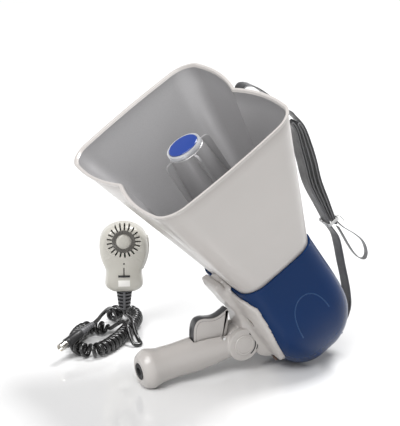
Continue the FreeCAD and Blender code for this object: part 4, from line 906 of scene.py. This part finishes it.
def folded_bundle():
    """The spare webbing: five passes up and down the bundle, each folded back on the one before."""
    centre = smooth_through([strap_point(point) for point in BUNDLE_LINE], 4)
    passes = []
    trims = (0, 0, 3, 1, 2, 0)
    for layer in range(5):
        offset = (layer - 2) * LAYER_STEP
        first, last = (trims[layer], trims[layer + 1])
        if layer % 2:
            first, last = last, first
        kept = []
        for index in range(first, len(centre) - last):
            forward = centre[min(len(centre) - 1, index + 1)] - centre[max(0, index - 1)]
            flat = ACROSS.cross(forward).normalized()
            share = index / (len(centre) - 1)
            fan = (1 + 1.0 * math.sin(math.pi * share) ** 1.3
                   + 0.08 * math.sin(math.pi * share) * math.sin(9 * share + 2 * layer))
            kept.append(centre[index] + flat * offset * fan)
        passes.append(kept[::-1] if layer % 2 else kept)
    line = list(passes[0])
    for following in passes[1:]:
        start, end = line[-1], following[0]
        outward = (line[-1] - line[-2]).normalized()
        line.append((start + end) / 2 + outward * LAYER_STEP * 0.62)
        line += following
    return line


class MEGAPHONE_OT_strap(bpy.types.Operator):
    """Carrying strap with its folded spare length and its loose tail"""
    bl_idname = "megaphone.strap"
    bl_label = "Carrying strap"

    def execute(self, context):
        sizes = context.scene.megaphone_sizes
        thickness = sizes.strap_thickness / MM
        line = [strap_point(point) for point in UPPER_STRAP] + folded_bundle()
        line += [strap_point(point) for point in LOWER_STRAP]
        strap = ribbon("strap", smooth_through(line, 3), sizes.strap_width / MM - 1.4, thickness * 0.75, 1.6)
        finish_piece(strap, "megaphone", "strap_fabric", "strap_webbing", "strap_bundle", place=HORN,
                     angle=60)
        tail_line = smooth_through([strap_point(point) for point in TAIL_LINE], 6)
        tail = ribbon("strap_tail_web", tail_line, 7.8, 1.1)
        finish_piece(tail, "megaphone", "strap_fabric", "strap_tail", place=HORN, angle=60,
                     materials=(tail_finish(),))
        return {"FINISHED"}


def tail_finish():
    return surface("tail_band", (0.16, 0.16, 0.165), 0.45, sheen=0.3, contrast=0.12, patches=90.0)


# ---------------------------------------------------------------- outlines and plates
def arc_through(a, b, c, steps):
    """Points on the circle through three points, from the first up to but not including the last."""
    (ax, ay), (bx, by), (cx, cy) = a, b, c
    d = 2 * (ax * (by - cy) + bx * (cy - ay) + cx * (ay - by))
    x = ((ax * ax + ay * ay) * (by - cy) + (bx * bx + by * by) * (cy - ay)
         + (cx * cx + cy * cy) * (ay - by)) / d
    y = ((ax * ax + ay * ay) * (cx - bx) + (bx * bx + by * by) * (ax - cx)
         + (cx * cx + cy * cy) * (bx - ax)) / d
    radius = math.hypot(ax - x, ay - y)
    start = math.atan2(ay - y, ax - x)
    middle = (math.atan2(by - y, bx - x) - start) % math.tau
    sweep = (math.atan2(cy - y, cx - x) - start) % math.tau
    if middle > sweep:
        sweep -= math.tau
    turns = [start + sweep * step / steps for step in range(steps)]
    return [(x + radius * math.cos(turn), y + radius * math.sin(turn)) for turn in turns]


def shrunk(outline, amount):
    """Outline with every corner moved inwards; the points run anticlockwise."""
    moved = []
    count = len(outline)
    for index in range(count):
        before, here, after = (Vector(outline[(index + step) % count]) for step in (-1, 0, 1))
        first = (here - before).normalized()
        second = (after - here).normalized()
        inward = Vector((-first.y - second.y, first.x + second.x))
        spread_out = max(0.35, inward.length_squared / 2)
        moved.append(here + inward / spread_out * amount)
    return moved


def anticlockwise(outline):
    area = sum(a[0] * b[1] - b[0] * a[1] for a, b in zip(outline, outline[1:] + outline[:1]))
    return list(outline) if area > 0 else list(outline)[::-1]


def plate(name, outline, low, high, ease):
    """Plate of an outline in X and Y, from a low to a high Z, with rounded edges; lengths in millimetres."""
    outline = anticlockwise(outline)
    levels = [(low, ease), (low + ease * 0.3, ease * 0.3), (low + ease, 0.0), (high - ease, 0.0),
              (high - ease * 0.3, ease * 0.3), (high, ease)]
    rings = [[Vector((*point, height)) * MM for point in (x.to_tuple() for x in shrunk(outline, inset))]
             for height, inset in levels]
    return loft(name, rings)


# ---------------------------------------------------------------- horn
NECK = 112.0
MOUTH = 330.0
LIP = 146.0


def bell_outline(station, inset):
    """Rounded rectangle whose long edges are two lobes with a crease between them."""
    share = (station - LIP) / (MOUTH - LIP)
    h = mixed(50.0, 93.5, share) - inset
    w = mixed(62.0, 133.0, share) - inset
    r = mixed(24.0, 32.0, share) - inset
    bend = mixed(0.25, 1.0, share)
    dip, lobe, side = 9.0 * bend, 1.5 * bend, 2.5 * bend
    diagonal = r * (1 - math.sqrt(0.5))
    outline = []
    for x, y in ((1, 1), (-1, -1)):
        outline += arc_through((x * (h - dip), 0), (x * (h + lobe), y * w * 0.45), (x * h, y * (w - r)), 14)
        outline += arc_through((x * h, y * (w - r)), (x * (h - diagonal), y * (w - diagonal)),
                               (x * (h - r), y * w), 10)
        outline += arc_through((x * (h - r), y * w), (0, y * (w + side)), (-x * (h - r), y * w), 16)
        outline += arc_through((-x * (h - r), y * w), (-x * (h - diagonal), y * (w - diagonal)),
                               (-x * h, y * (w - r)), 10)
        outline += arc_through((-x * h, y * (w - r)), (-x * (h + lobe), y * w * 0.45), (-x * (h - dip), 0),
                               14)
    return outline


BELL_PROFILE = [
    (NECK, 2.6), (NECK, -4.3), (NECK + 2.9, -4.3), (NECK + 3.1, 0.0), (146.0, 0.0), (170.0, 0.0),
    (200.0, 0.0),
    (230.0, 0.0), (260.0, 0.0), (290.0, 0.0), (310.0, 0.0), (323.6, 0.0), (324.2, 0.3), (325.4, 0.3),
    (325.8, -0.5), (326.3, -1.1), (327.0, -1.2), (329.0, -1.2), (329.7, -0.9), (330.0, -0.2), (330.0, 1.6),
    (329.8, 2.2), (329.2, 2.6), (327.6, 2.65), (327.2, 2.9), (326.4, 2.6), (310.0, 2.6), (280.0, 2.6),
    (250.0, 2.6),
    (220.0, 2.6), (190.0, 2.6), (160.0, 2.6), (130.0, 2.6), (NECK, 2.6),
]
FIRST_SILVER_LEVEL = 24


class MEGAPHONE_OT_bell(bpy.types.Operator):
    """Horn's bell with its creased mouth and rolled rim, painted silver inside"""
    bl_idname = "megaphone.bell"
    bl_label = "Bell"

    def execute(self, context):
        rings = []
        for station, inset in BELL_PROFILE:
            rings.append([Vector((x, y, station)) * MM for x, y in bell_outline(station, inset)])
        bell = loft("bell", rings, caps=(False, False))
        finish_piece(bell, "megaphone", "bell_plastic", "horn_bell", place=HORN, angle=28,
                     materials=(FINISH["bell_plastic"], FINISH["silver_plastic"]))
        level = bell.data.attributes["level"].data
        for face in bell.data.polygons:
            levels = [level[vert].value for vert in face.vertices]
            inside = min(levels) >= FIRST_SILVER_LEVEL
            closing = 0 in levels and max(levels) > 1
            face.material_index = 1 if inside or closing else 0
        return {"FINISHED"}


CUP_FRONT = 316.0
CUP_BACK = 210.0


def cup_radius(station):
    return 21.0 + (CUP_FRONT - station) * math.tan(math.radians(5.0))


class MEGAPHONE_OT_reflector(bpy.types.Operator):
    """Reflector in the horn, with four ribs, a bright ring and a bare blue disc"""
    bl_idname = "megaphone.reflector"
    bl_label = "Reflector"

    def execute(self, context):
        back = cup_radius(CUP_BACK)
        profile = [(back, CUP_BACK), (back + 0.2, CUP_BACK + 0.6), (cup_radius(309.8), 309.8),
                   (cup_radius(310.6) - 0.35, 310.2), (cup_radius(311) - 0.35, 310.8),
                   (cup_radius(311.4), 311.2),
                   (cup_radius(314.9), 314.9), (20.6, 315.7), (20.0, 316.0), (18.5, 316.0), (18.2, 315.8),
                   (18.15, 315.0), (0.0, 315.0)]
        inside = [(0.0, 312.0), (18.0, 312.0), (19.4, 310.5), (back - 2.0, CUP_BACK)]
        shell = turned("reflector", [(radius * MM, height * MM) for radius, height in inside + profile], 96)
        ribs = []
        shoulder = [(19.0, 309.0), (26.0, 309.0), (29.0, 308.0), (30.8, 305.5), (31.5, 301.0), (31.5, 240.0),
                    (31.0, 238.0), (24.0, 238.0)]
        for quarter in range(4):
            rib = plate("reflector_rib", shoulder, -1.5, 1.5, 0.5)
            upright = axes_matrix(Vector((1, 0, 0)), UP, Vector((0, -1, 0)), Vector())
            rib.data.transform(Matrix.Rotation(quarter * math.pi / 2, 4, "Z") @ upright)
            ribs.append(rib)
        reflector = joined("reflector", [shell] + ribs)
        bright = ring_finish()
        finish_piece(reflector, "megaphone", "silver_plastic", "reflector_cup", place=HORN, angle=30,
                     materials=(FINISH["silver_plastic"], bright))
        to_horn = HORN.inverted()
        for face in reflector.data.polygons:
            centre = to_horn @ face.center
            if centre.z > 311.0 * MM:
                face.material_index = 1
        disc = turned("badge", [(radius * MM, height * MM) for radius, height in
                                ((0.0, 315.1), (17.9, 315.1), (17.9, 316.3), (17.5, 316.75), (15.5, 316.8),
                                 (0.0, 316.8))], 96)
        finish_piece(disc, "megaphone", "blue_plastic", "badge_disc", place=HORN,
                     materials=(badge_finish(context),))
        return {"FINISHED"}


def ring_finish():
    return surface("ring_lacquer", (0.62, 0.63, 0.65), 0.24, metallic=0.55, coat=0.5, contrast=0.03)


def badge_finish(context):
    return surface("badge_blue", context.scene.megaphone_colours.badge, 0.3, coat=0.2, contrast=0.04)


# ---------------------------------------------------------------- raised arch on the housing
ARCH = [(56, -24), (68, -23.5), (79, -21.5), (89, -18), (97, -12), (101.5, -4), (101.5, 5), (97, 12.5),
        (89, 17.5), (78, 20.5), (66, 21.5)]


def on_surface(tree, point, direction):
    hit = tree.ray_cast(point, direction)
    return hit[0], hit[1]


def node_tree(*nodes):
    """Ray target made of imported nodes, merged."""
    mesh = bmesh.new()
    for node in nodes:
        mesh.from_mesh(frame["nodes"][node].data)
    tree = BVHTree.FromBMesh(mesh)
    mesh.free()
    return tree


def bead(name, line, normals, width, height):
    """Low half-round bead that lies on a surface along a line."""
    rings = []
    last = len(line) - 1
    for index, (point, normal) in enumerate(zip(line, normals)):
        forward = (line[min(last, index + 1)] - line[max(0, index - 1)]).normalized()
        side = forward.cross(normal).normalized()
        end = min(1.0, min(index, last - index) / 3 + 0.15)
        ring = []
        for step in range(10):
            turn = math.tau * step / 10
            ring.append(point + (side * math.cos(turn) * width / 2
                                 + normal * math.sin(turn) * height * end) * MM)
        rings.append(ring)
    return loft(name, rings)


# Painted highlight: the bead is a lighter blue than the housing, so the light caught on its raised crest is
# painted into its colour.
def arch_highlight_finish():
    return surface("arch_blue_highlight", (0.008, 0.042, 0.125), 0.3, specular=0.25, contrast=0.03)


class MEGAPHONE_OT_arch(bpy.types.Operator):
    """Raised arch on the housing's -Y side"""
    bl_idname = "megaphone.arch"
    bl_label = "Raised arch"

    def execute(self, context):
        tree = node_tree("rear_housing")
        line, normals = [], []
        for place in smooth_through([Vector((x, -120.0, s)) for s, x in ARCH], 6):
            point, normal = on_surface(tree, HORN @ (place * MM), ACROSS)
            line.append(point)
            normals.append(normal)
        arch = bead("housing_arch", line, normals, 1.5, 0.4)
        finish_piece(arch, "megaphone", "blue_plastic", materials=(arch_highlight_finish(),))
        return {"FINISHED"}


# ---------------------------------------------------------------- handle
TRIGGER_OUTLINE = [(9.5, 44), (15.5, 43.2), (22, 40.6), (29, 39.6), (36, 41), (43, 42.8), (50, 41.6),
                   (54.5, 35.5),
                   (57, 25), (57, 16), (50, 9), (27, 8.5), (20, 9), (17.5, 13), (13.5, 19.5)]


class MEGAPHONE_OT_trigger(bpy.types.Operator):
    """Trigger with a stepped panel on each side, and painted shade in near-black grey on its wavy edge faces
    """
    bl_idname = "megaphone.trigger"
    bl_label = "Trigger"

    def execute(self, context):
        outline = [(b, a) for a, b in TRIGGER_OUTLINE]
        outline = [(point.x, point.y) for point in smooth_through([(*pair, 0) for pair in outline], 5,
                                                                  closed=True)]
        body = plate("trigger_lever", outline, -6.4, 6.4, 1.3)
        panel = [point.to_tuple() for point in shrunk(anticlockwise(outline), 3.2)]
        pieces = [body]
        for low, high in ((-6.9, -5.6), (5.6, 6.9)):
            pieces.append(plate("trigger_side", panel, low, high, 0.5))
        lever = joined("trigger_lever", pieces)
        upright = axes_matrix(Vector((1, 0, 0)), UP, Vector((0, -1, 0)), Vector())
        edge_shade = trigger_edge_shade()
        finish_piece(lever, "trigger", "trigger_plastic", "trigger", place=GRIP @ upright,
                     materials=(FINISH["trigger_plastic"], edge_shade))
        # Painted shade: the lever's edge faces take the near-black grey, except those that face up towards
        # the pivot.
        to_grip = GRIP.inverted().to_3x3()
        for face in lever.data.polygons:
            normal = to_grip @ face.normal
            if abs(normal.y) < 0.72 and (normal.z > -0.45 or normal.x > 0.6):
                face.material_index = 1
        return {"FINISHED"}


SADDLE_OUTLINE = [(26, 0), (26.5, 12), (31, 30), (40, 41), (69, 50), (101, 54), (121, 53), (133, 42),
                  (142, 27),
                  (150, 18.5), (157, 12), (159.5, 0)]
SADDLE_RIDGE = [(30, 57.6), (36, 58.5), (40, 63), (46, 68), (54.5, 70.2), (73, 69.4), (91, 67.8), (101, 64.8),
                (112, 63.4), (126, 65.6), (146, 66.6), (155, 64), (160, 59)]
RING_SHARES = [0.0, 0.004, 0.014, 0.03, 0.06, 0.1, 0.15, 0.2, 0.25, 0.3, 0.35, 0.4, 0.45, 0.5, 0.55, 0.6,
               0.65,
               0.7, 0.75, 0.8, 0.86, 0.93, 1.0]
NOSE_STATION = 159.0
POCKET_FLOOR = -51.0
SCREW_PLACES = ((101.0, 33.0), (101.0, -33.0), (34.0, 22.0), (34.0, -22.0))


def eased(low, high, value):
    share = max(0.0, min(1.0, (value - low) / (high - low)))
    return share * share * (3 - 2 * share)


def ridge_height(station):
    for (low, first), (high, second) in zip(SADDLE_RIDGE, SADDLE_RIDGE[1:]):
        if station <= high:
            return mixed(first, second, eased(low, high, station))
    return SADDLE_RIDGE[-1][1]


def saddle_skin():
    """Moulded skin over the saddle: a flange on the housing that swells into the ridge."""
    tree = node_tree("rear_housing", "horn_bell")
    half = [Vector((station, y, 0)) for station, y in SADDLE_OUTLINE]
    mirrored = [Vector((point.x, -point.y, 0)) for point in half[-2:0:-1]]
    outline = smooth_through(half + mirrored, 7, closed=True)
    to_horn = HORN.inverted()
    upper, lower = [], []
    for number, share in enumerate(RING_SHARES):
        over, under = [], []
        for corner in outline:
            spine = Vector((max(60.0, min(150.0, corner.x)), 0, 0))
            station, y, _ = corner.lerp(spine, share)
            start = HORN @ (Vector((-140.0, y, station)) * MM)
            hit = tree.ray_cast(start, HORN.to_3x3() @ Vector((1, 0, 0)))[0]
            surface_x = (to_horn @ hit).x / MM
            distance = (corner - spine).length * share
            skin = 4.3 * (1 - (1 - min(1.0, distance / 3.0)) ** 2) ** 0.5
            ridge = ridge_height(station) + surface_x
            swell = max(0.0, ridge - 4.3) * (1 - eased(13.5, 23.5, abs(y)))
            over.append(Vector((surface_x - max(0.3, skin + swell * min(1.0, distance / 6.0)), y,
                                station)) * MM)
            under.append(Vector((surface_x - 0.15, y, station)) * MM)
        upper.append(over)
        lower.append(under)
    skin = loft("saddle_skin", lower[::-1] + upper, caps=(False, False))
    skin.data.transform(HORN)
    return skin


def moulded_saddle():
    """Skin and packed saddle grown into one moulding, short of the lip's tip, with its four screw pockets."""
    skin = saddle_skin()
    core = plain_copy("saddle_core", "saddle")
    bpy.ops.object.mode_set(mode="EDIT")
    bpy.ops.mesh.select_all(action="SELECT")
    bpy.ops.mesh.bisect(plane_co=HORN @ (Vector((0, 0, NOSE_STATION)) * MM),
                        plane_no=HORN.to_3x3() @ Vector((0, 0, 1)), use_fill=True, clear_outer=True)
    bpy.ops.object.mode_set(mode="OBJECT")
    moulding = joined("saddle_moulding", [core, skin])
    remeshed(moulding, 0.95, 10)
    cutters = []
    for station, y in SCREW_PLACES:
        pocket = turned("pocket", [(5.2 * MM, -90 * MM), (4.6 * MM, POCKET_FLOOR * MM)], 32)
        upright = axes_matrix(UP, ACROSS * -1, Vector((1, 0, 0)), Vector((0, y, station)) * MM)
        pocket.data.transform(HORN @ upright @ Matrix.Diagonal((1.5, 1.0, 1.0, 1.0)))
        cutters.append(pocket)
    cut_away(moulding, joined("pockets", cutters))
    return moulding


def neck_in(half):
    """Draw the grip in ahead of its butt, so that the butt reads as a collar."""
    to_grip = GRIP.inverted()
    for vert in half.data.vertices:
        place = to_grip @ vert.co
        station = place.z / MM
        waist = 1.1 * math.exp(-((station - 101.0) / 6.5) ** 2)
        collar = 1.3 * math.exp(-((station - 116.0) / 7.0) ** 2)
        girth = math.hypot(place.x, place.y)
        if station > 80.0 and girth > 14.0 * MM:
            place.x += (collar - waist) * MM * place.x / girth
            place.y += (collar - waist) * MM * 0.6 * place.y / girth
            vert.co = GRIP @ place
            vert.co.z = max(vert.co.z, 0.0)


class MEGAPHONE_OT_handle(bpy.types.Operator):
    """Saddle with its filleted skirt, and the pivot's two discs"""
    bl_idname = "megaphone.handle"
    bl_label = "Saddle and pivot"

    def execute(self, context):
        finish_piece(moulded_saddle(), "megaphone", "white_plastic", "saddle", angle=60)
        for name, node in (("grip_moulding_left", "grip_left_shell"),
                           ("grip_moulding_right", "grip_right_shell")):
            half = softened(name, node, 0.85, 8)
            neck_in(half)
            finish_piece(half, "grip", "white_plastic", node, angle=60)
        # Painted shadow: thin black beads on each face of the knuckle stand for the shadow gap round the
        # pivot disc and the shadow line along the knuckle's edge.
        arcs = []
        for side in (-1, 1):
            for radius, low, high, width in ((14.6, -62, 58, 1.5), (17.6, -34, 26, 1.2)):
                line = []
                for step in range(25):
                    turn = math.radians(mixed(low, high, step / 24))
                    line.append(Vector((radius * math.sin(turn), side * 18.55,
                                        -radius * math.cos(turn))) * MM)
                arcs.append(bead("knuckle_shadow_arc", line, [ACROSS * side] * len(line), width, 0.16))
        finish_piece(joined("knuckle_shadow_arcs", arcs), "grip", "black_plastic", place=GRIP)
        discs = []
        for side in (-1, 1):
            disc = turned("pivot_disc", [(radius * MM, height * MM) for radius, height in (
                (0.0, 18.3), (12.5, 18.3), (12.5, 19.3), (12.1, 19.75), (10.9, 19.9), (10.4, 19.6),
                (9.9, 19.6),
                (9.4, 19.95), (6.0, 20.1), (0.0, 20.15))], 72)
            disc.data.transform(axes_matrix(Vector((1, 0, 0)), UP * -side, ACROSS * side, Vector()))
            discs.append(disc)
        discs = joined("pivot_discs", discs)
        finish_piece(discs, "grip", "white_plastic", "pivot_caps", place=GRIP, angle=25)
        return {"FINISHED"}


# ---------------------------------------------------------------- microphone
def label_finish():
    return surface("bare_field", (0.78, 0.77, 0.74), 0.3, coat=0.3, contrast=0.02)


def flute_finish():
    return surface("flute_grey", (0.10, 0.095, 0.085), 0.4, coat=0.2, contrast=0.1)


GRILLE_HEIGHT = 67.1


class MEGAPHONE_OT_microphone(bpy.types.Operator):
    """Microphone's front with its sunburst grille, dome and switch plate"""
    bl_idname = "megaphone.microphone"
    bl_label = "Microphone front"

    def execute(self, context):
        count = context.scene.megaphone_sizes.grille_slots
        shell = dressed("mic_front_shell", material="microphone_plastic")
        cutters = []
        for number in range(count):
            wedge = plate("grille_wedge",
                          [(14.6, -0.95), (19.9, -1.05), (20.7, -0.6), (20.7, 0.6), (19.9, 1.05),
                           (14.6, 0.95)], 1.0, 20.0, 0.1)
            wedge.data.transform(Matrix.Rotation(math.tau * number / count, 4, "Z"))
            cutters.append(wedge)
        cutter = joined("grille_wedges", cutters)
        facing = axes_matrix(Vector((1, 0, 0)), UP, -ACROSS, Vector((0, 0, GRILLE_HEIGHT)) * MM)
        cutter.data.transform(MIC @ facing)
        cut_away(shell, cutter)
        only(shell)
        bpy.ops.object.shade_smooth_by_angle(angle=math.radians(32))
        dome = turned("grille_dome", [(radius * MM, height * MM) for radius, height in (
            (0.0, 14.2), (8.5, 14.2), (8.5, 15.5), (8.1, 16.0), (6.5, 16.7), (4.0, 17.1), (0.0, 17.3))], 64)
        finish_piece(dome, "microphone", "white_plastic", place=MIC @ facing,
                     materials=(FINISH["microphone_plastic"],))
        # Painted shade: a black disc behind the grille's slots stands for the dark inside of the microphone.
        slot_shade_disc = turned("grille_shade_disc", [(radius * MM, height * MM) for radius, height in (
            (0.0, 10.6), (17.0, 10.6), (17.0, 11.4), (0.0, 11.4))], 64)
        flutes = []
        for radius, height in ((9.2, 14.2), (14.4, 14.2), (14.4, 15.3), (13.8, 15.6), (11.0, 15.7),
                               (9.2, 15.4)):
            ring = circle_ring(radius * MM, height * MM, count * 6)
            for number in range(0, len(ring), 3):
                ring[number].z -= (0.55 if height > 15 else 0.0) * MM
            flutes.append(ring)
        fluted = loft("grille_flutes", flutes + flutes[:1], caps=(False, False))
        finish_piece(fluted, "microphone", "white_plastic", place=MIC @ facing, materials=(flute_finish(),),
                     angle=20)
        shade_and_dot_pieces = [slot_shade_disc]
        # Painted shade: a black plate behind the switch slot stands for the dark inside seen through it.
        shade_and_dot_pieces.append(slab_block("switch_slot_shade", Vector((-4.6, -12.4, 19.0)) * MM,
                                Vector((4.6, -11.9, 38.0)) * MM,
                                0.1 * MM))
        dot = turned("switch_dot", [(radius * MM, height * MM) for radius, height in (
            (0.0, 14.6), (1.1, 14.6), (1.1, 15.2), (0.8, 15.4), (0.0, 15.45))], 24)
        dot.data.transform(Matrix.Translation(Vector((0, 38.6, 0)) * MM))
        upright = axes_matrix(Vector((1, 0, 0)), UP, -ACROSS, Vector())
        dot.data.transform(upright)
        shade_and_dot_pieces.append(dot)
        slot_shade_disc.data.transform(facing)
        shade_and_dot = joined("microphone_shade_and_dot", shade_and_dot_pieces)
        finish_piece(shade_and_dot, "microphone", "black_plastic", place=MIC)
        bar = plate("switch_slide", [(-7.2, 21.4), (7.2, 21.4), (7.2, 23.8), (-7.2, 23.8)], 15.1, 16.2, 0.35)
        stem = plate("switch_stem", [(-0.5, 21.6), (0.5, 21.6), (0.5, 24.4), (-0.5, 24.4)], 10.5, 15.6, 0.1)
        slide = joined("switch_slide", [bar, stem])
        slide.data.transform(upright)
        finish_piece(slide, "mic_switch", "knob_plastic", "mic_switch", place=MIC,
                     materials=(FINISH["black_plastic"],))
        cheeks = []
        for low, high in ((-3.5, -0.65), (0.65, 3.5)):
            cheeks.append(plate("slot_cheek", [(low, 20.3), (high, 20.3), (high, 36.8), (low, 36.8)], 12.6,
                                14.9, 0.15))
        cheeks.append(plate("slot_cheek", [(-0.8, 33.4), (0.8, 33.4), (0.8, 36.8), (-0.8, 36.8)], 12.6, 14.9,
                            0.15))
        cheeks = joined("slot_cheeks", cheeks)
        cheeks.data.transform(upright)
        finish_piece(cheeks, "microphone", "white_plastic", place=MIC,
                     materials=(FINISH["microphone_plastic"],))
        label = plate("switch_field", [(-7.2, 9.1), (7.2, 9.1), (7.2, 17.2), (-7.2, 17.2)], 14.6, 15.3, 0.4)
        label.data.transform(upright)
        finish_piece(label, "microphone", "white_plastic", place=MIC, materials=(label_finish(),))
        for node in ("mic_rear_shell", "ptt_lever"):
            dressed(node, material="microphone_plastic")
        return {"FINISHED"}


# ---------------------------------------------------------------- carried-over hardware
def dressed(node, bevel=0.0, material=None):
    """Smooth-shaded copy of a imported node, its doubles merged and its edges eased."""
    source = frame["nodes"][node]
    obj = bpy.data.objects.new("finished_" + node, source.data.copy())
    bpy.context.scene.collection.objects.link(obj)
    only(obj)
    bpy.ops.object.mode_set(mode="EDIT")
    bpy.ops.mesh.select_all(action="SELECT")
    bpy.ops.mesh.remove_doubles(threshold=0.004 * MM)
    if bevel:
        bpy.ops.mesh.dissolve_limited(angle_limit=math.radians(0.5))
    bpy.ops.object.mode_set(mode="OBJECT")
    if bevel:
        ease = obj.modifiers.new("ease", "BEVEL")
        ease.width = bevel * MM
        ease.segments = 2
        ease.limit_method = "ANGLE"
        ease.angle_limit = math.radians(50)
        ease.harden_normals = False
        bpy.ops.object.modifier_apply(modifier=ease.name)
    obj.data.materials.clear()
    slot = NODE_SLOTS[node]
    return finish_piece(obj, body_of(source)[0], slot, node, angle=32.0,
                        materials=(FINISH[material or slot],))


VISIBLE_NODES = {
    "rear_housing": 0.0, "control_panel": 0.0, "battery_door": 0.0, "door_lock": 0.0, "volume_knob": 0.0,
    "mode_slider": 0.0, "mic_socket": 0.0, "power_led": 0.0, "front_lug": 0.0, "pivot_caps": 0.0,
    "butt_bush": 0.0, "mic_button": 0.0, "mic_switch": 0.0, "ptt_lever": 0.0, "mic_front_shell": 0.0,
    "mic_rear_shell": 0.0, "saddle": 0.0, "grip_left_shell": 0.0, "grip_right_shell": 0.0, "trigger": 0.0,
    "saddle_screws": 0.0, "grip_screws": 0.0, "mic_screws": 0.0, "door_hinge_pin": 0.0, "horn_bell": 0.0,
    "reflector_cup": 0.0, "badge_disc": 0.0, "throat_tube": 0.0, "seam_gasket": 0.0, "strap_tie": 0.0,
}


class MEGAPHONE_OT_hardware(bpy.types.Operator):
    """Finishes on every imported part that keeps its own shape"""
    bl_idname = "megaphone.hardware"
    bl_label = "Hardware"

    def execute(self, context):
        hidden = {node for node, obj in frame["nodes"].items() if obj.hide_render}
        for node, bevel in VISIBLE_NODES.items():
            if node not in hidden:
                dressed(node, bevel)
        for node, obj in frame["nodes"].items():
            for number in range(len(obj.material_slots)):
                obj.material_slots[number].material = FINISH[NODE_SLOTS[node]]
        return {"FINISHED"}

# ---------------------------------------------------------------- strap tie
class MEGAPHONE_OT_tie(bpy.types.Operator):
    """Twist tie round the spare webbing, with its loose end"""
    bl_idname = "megaphone.tie"
    bl_label = "Strap tie"

    def execute(self, context):
        x, wide = 94.5, 12.2
        low, high = x - 7.0, x + 8.8
        corner = 2.4
        outline = []
        for cx, cy, start in ((high - corner, wide - corner, 0), (low + corner, wide - corner, 90),
                              (low + corner, corner - wide, 180), (high - corner, corner - wide, 270)):
            for step in range(6):
                turn = math.radians(start + 18 * step)
                outline.append((cx + corner * math.cos(turn), cy + corner * math.sin(turn)))
        inner = shrunk(anticlockwise(outline), 0.9)
        rings = []
        for path, station in ((inner, 114.2), (outline, 114.2), (outline, 117.8), (inner, 117.8),
                              (inner, 114.2)):
            rings.append([Vector((point[0], point[1], station)) * MM for point in path])
        band = loft("tie_band", rings, caps=(False, False))
        twist = smooth_through([Vector((high - 0.4, -6.0, 116)), Vector((high + 1.6, -7.5, 116.5)),
                                Vector((high + 3.2, -9.5, 114.0)), Vector((high + 3.4, -12.0, 110.5)),
                                Vector((high + 2.2, -14.5, 108.5))], 6)
        normals = [Vector((1, 0, 0)) for point in twist]
        wire = bead("tie_wire_end", [point * MM for point in twist], normals, 1.4, 0.7)
        tie = joined("tie", [band, wire])
        finish_piece(tie, "megaphone", "tie_wire", "strap_tie", place=HORN)
        return {"FINISHED"}

# ---------------------------------------------------------------- panel and registration
class MEGAPHONE_PT_pieces(bpy.types.Panel):
    """Every piece of the megaphone, in the order in which they are made"""
    bl_idname = "MEGAPHONE_PT_pieces"
    bl_label = "Megaphone"
    bl_space_type = "VIEW_3D"
    bl_region_type = "UI"
    bl_category = "Megaphone"

    def draw(self, context):
        for group in (context.scene.megaphone_sizes, context.scene.megaphone_colours):
            for name in group.__annotations__:
                self.layout.prop(group, name)
        for operator in OPERATORS:
            self.layout.operator(operator.bl_idname)


OPERATORS = (MEGAPHONE_OT_stage, MEGAPHONE_OT_cord, MEGAPHONE_OT_relief, MEGAPHONE_OT_strap, MEGAPHONE_OT_tie,
             MEGAPHONE_OT_bell, MEGAPHONE_OT_reflector, MEGAPHONE_OT_arch, MEGAPHONE_OT_trigger,
             MEGAPHONE_OT_handle,
             MEGAPHONE_OT_microphone, MEGAPHONE_OT_hardware)
CLASSES = (MegaphoneColours, MegaphoneSizes, *OPERATORS, MEGAPHONE_PT_pieces)


def register():
    for item in CLASSES:
        bpy.utils.register_class(item)
    bpy.types.Scene.megaphone_colours = bpy.props.PointerProperty(type=MegaphoneColours)
    bpy.types.Scene.megaphone_sizes = bpy.props.PointerProperty(type=MegaphoneSizes)


def unregister():
    del bpy.types.Scene.megaphone_sizes
    del bpy.types.Scene.megaphone_colours
    for item in reversed(CLASSES):
        bpy.utils.unregister_class(item)


def main():
    register()
    FINISH.update(finishes(bpy.context.scene.megaphone_colours))
    for operator in OPERATORS:
        group, name = operator.bl_idname.split(".")
        getattr(getattr(bpy.ops, group), name)()


if __name__ == "__main__":
    main()
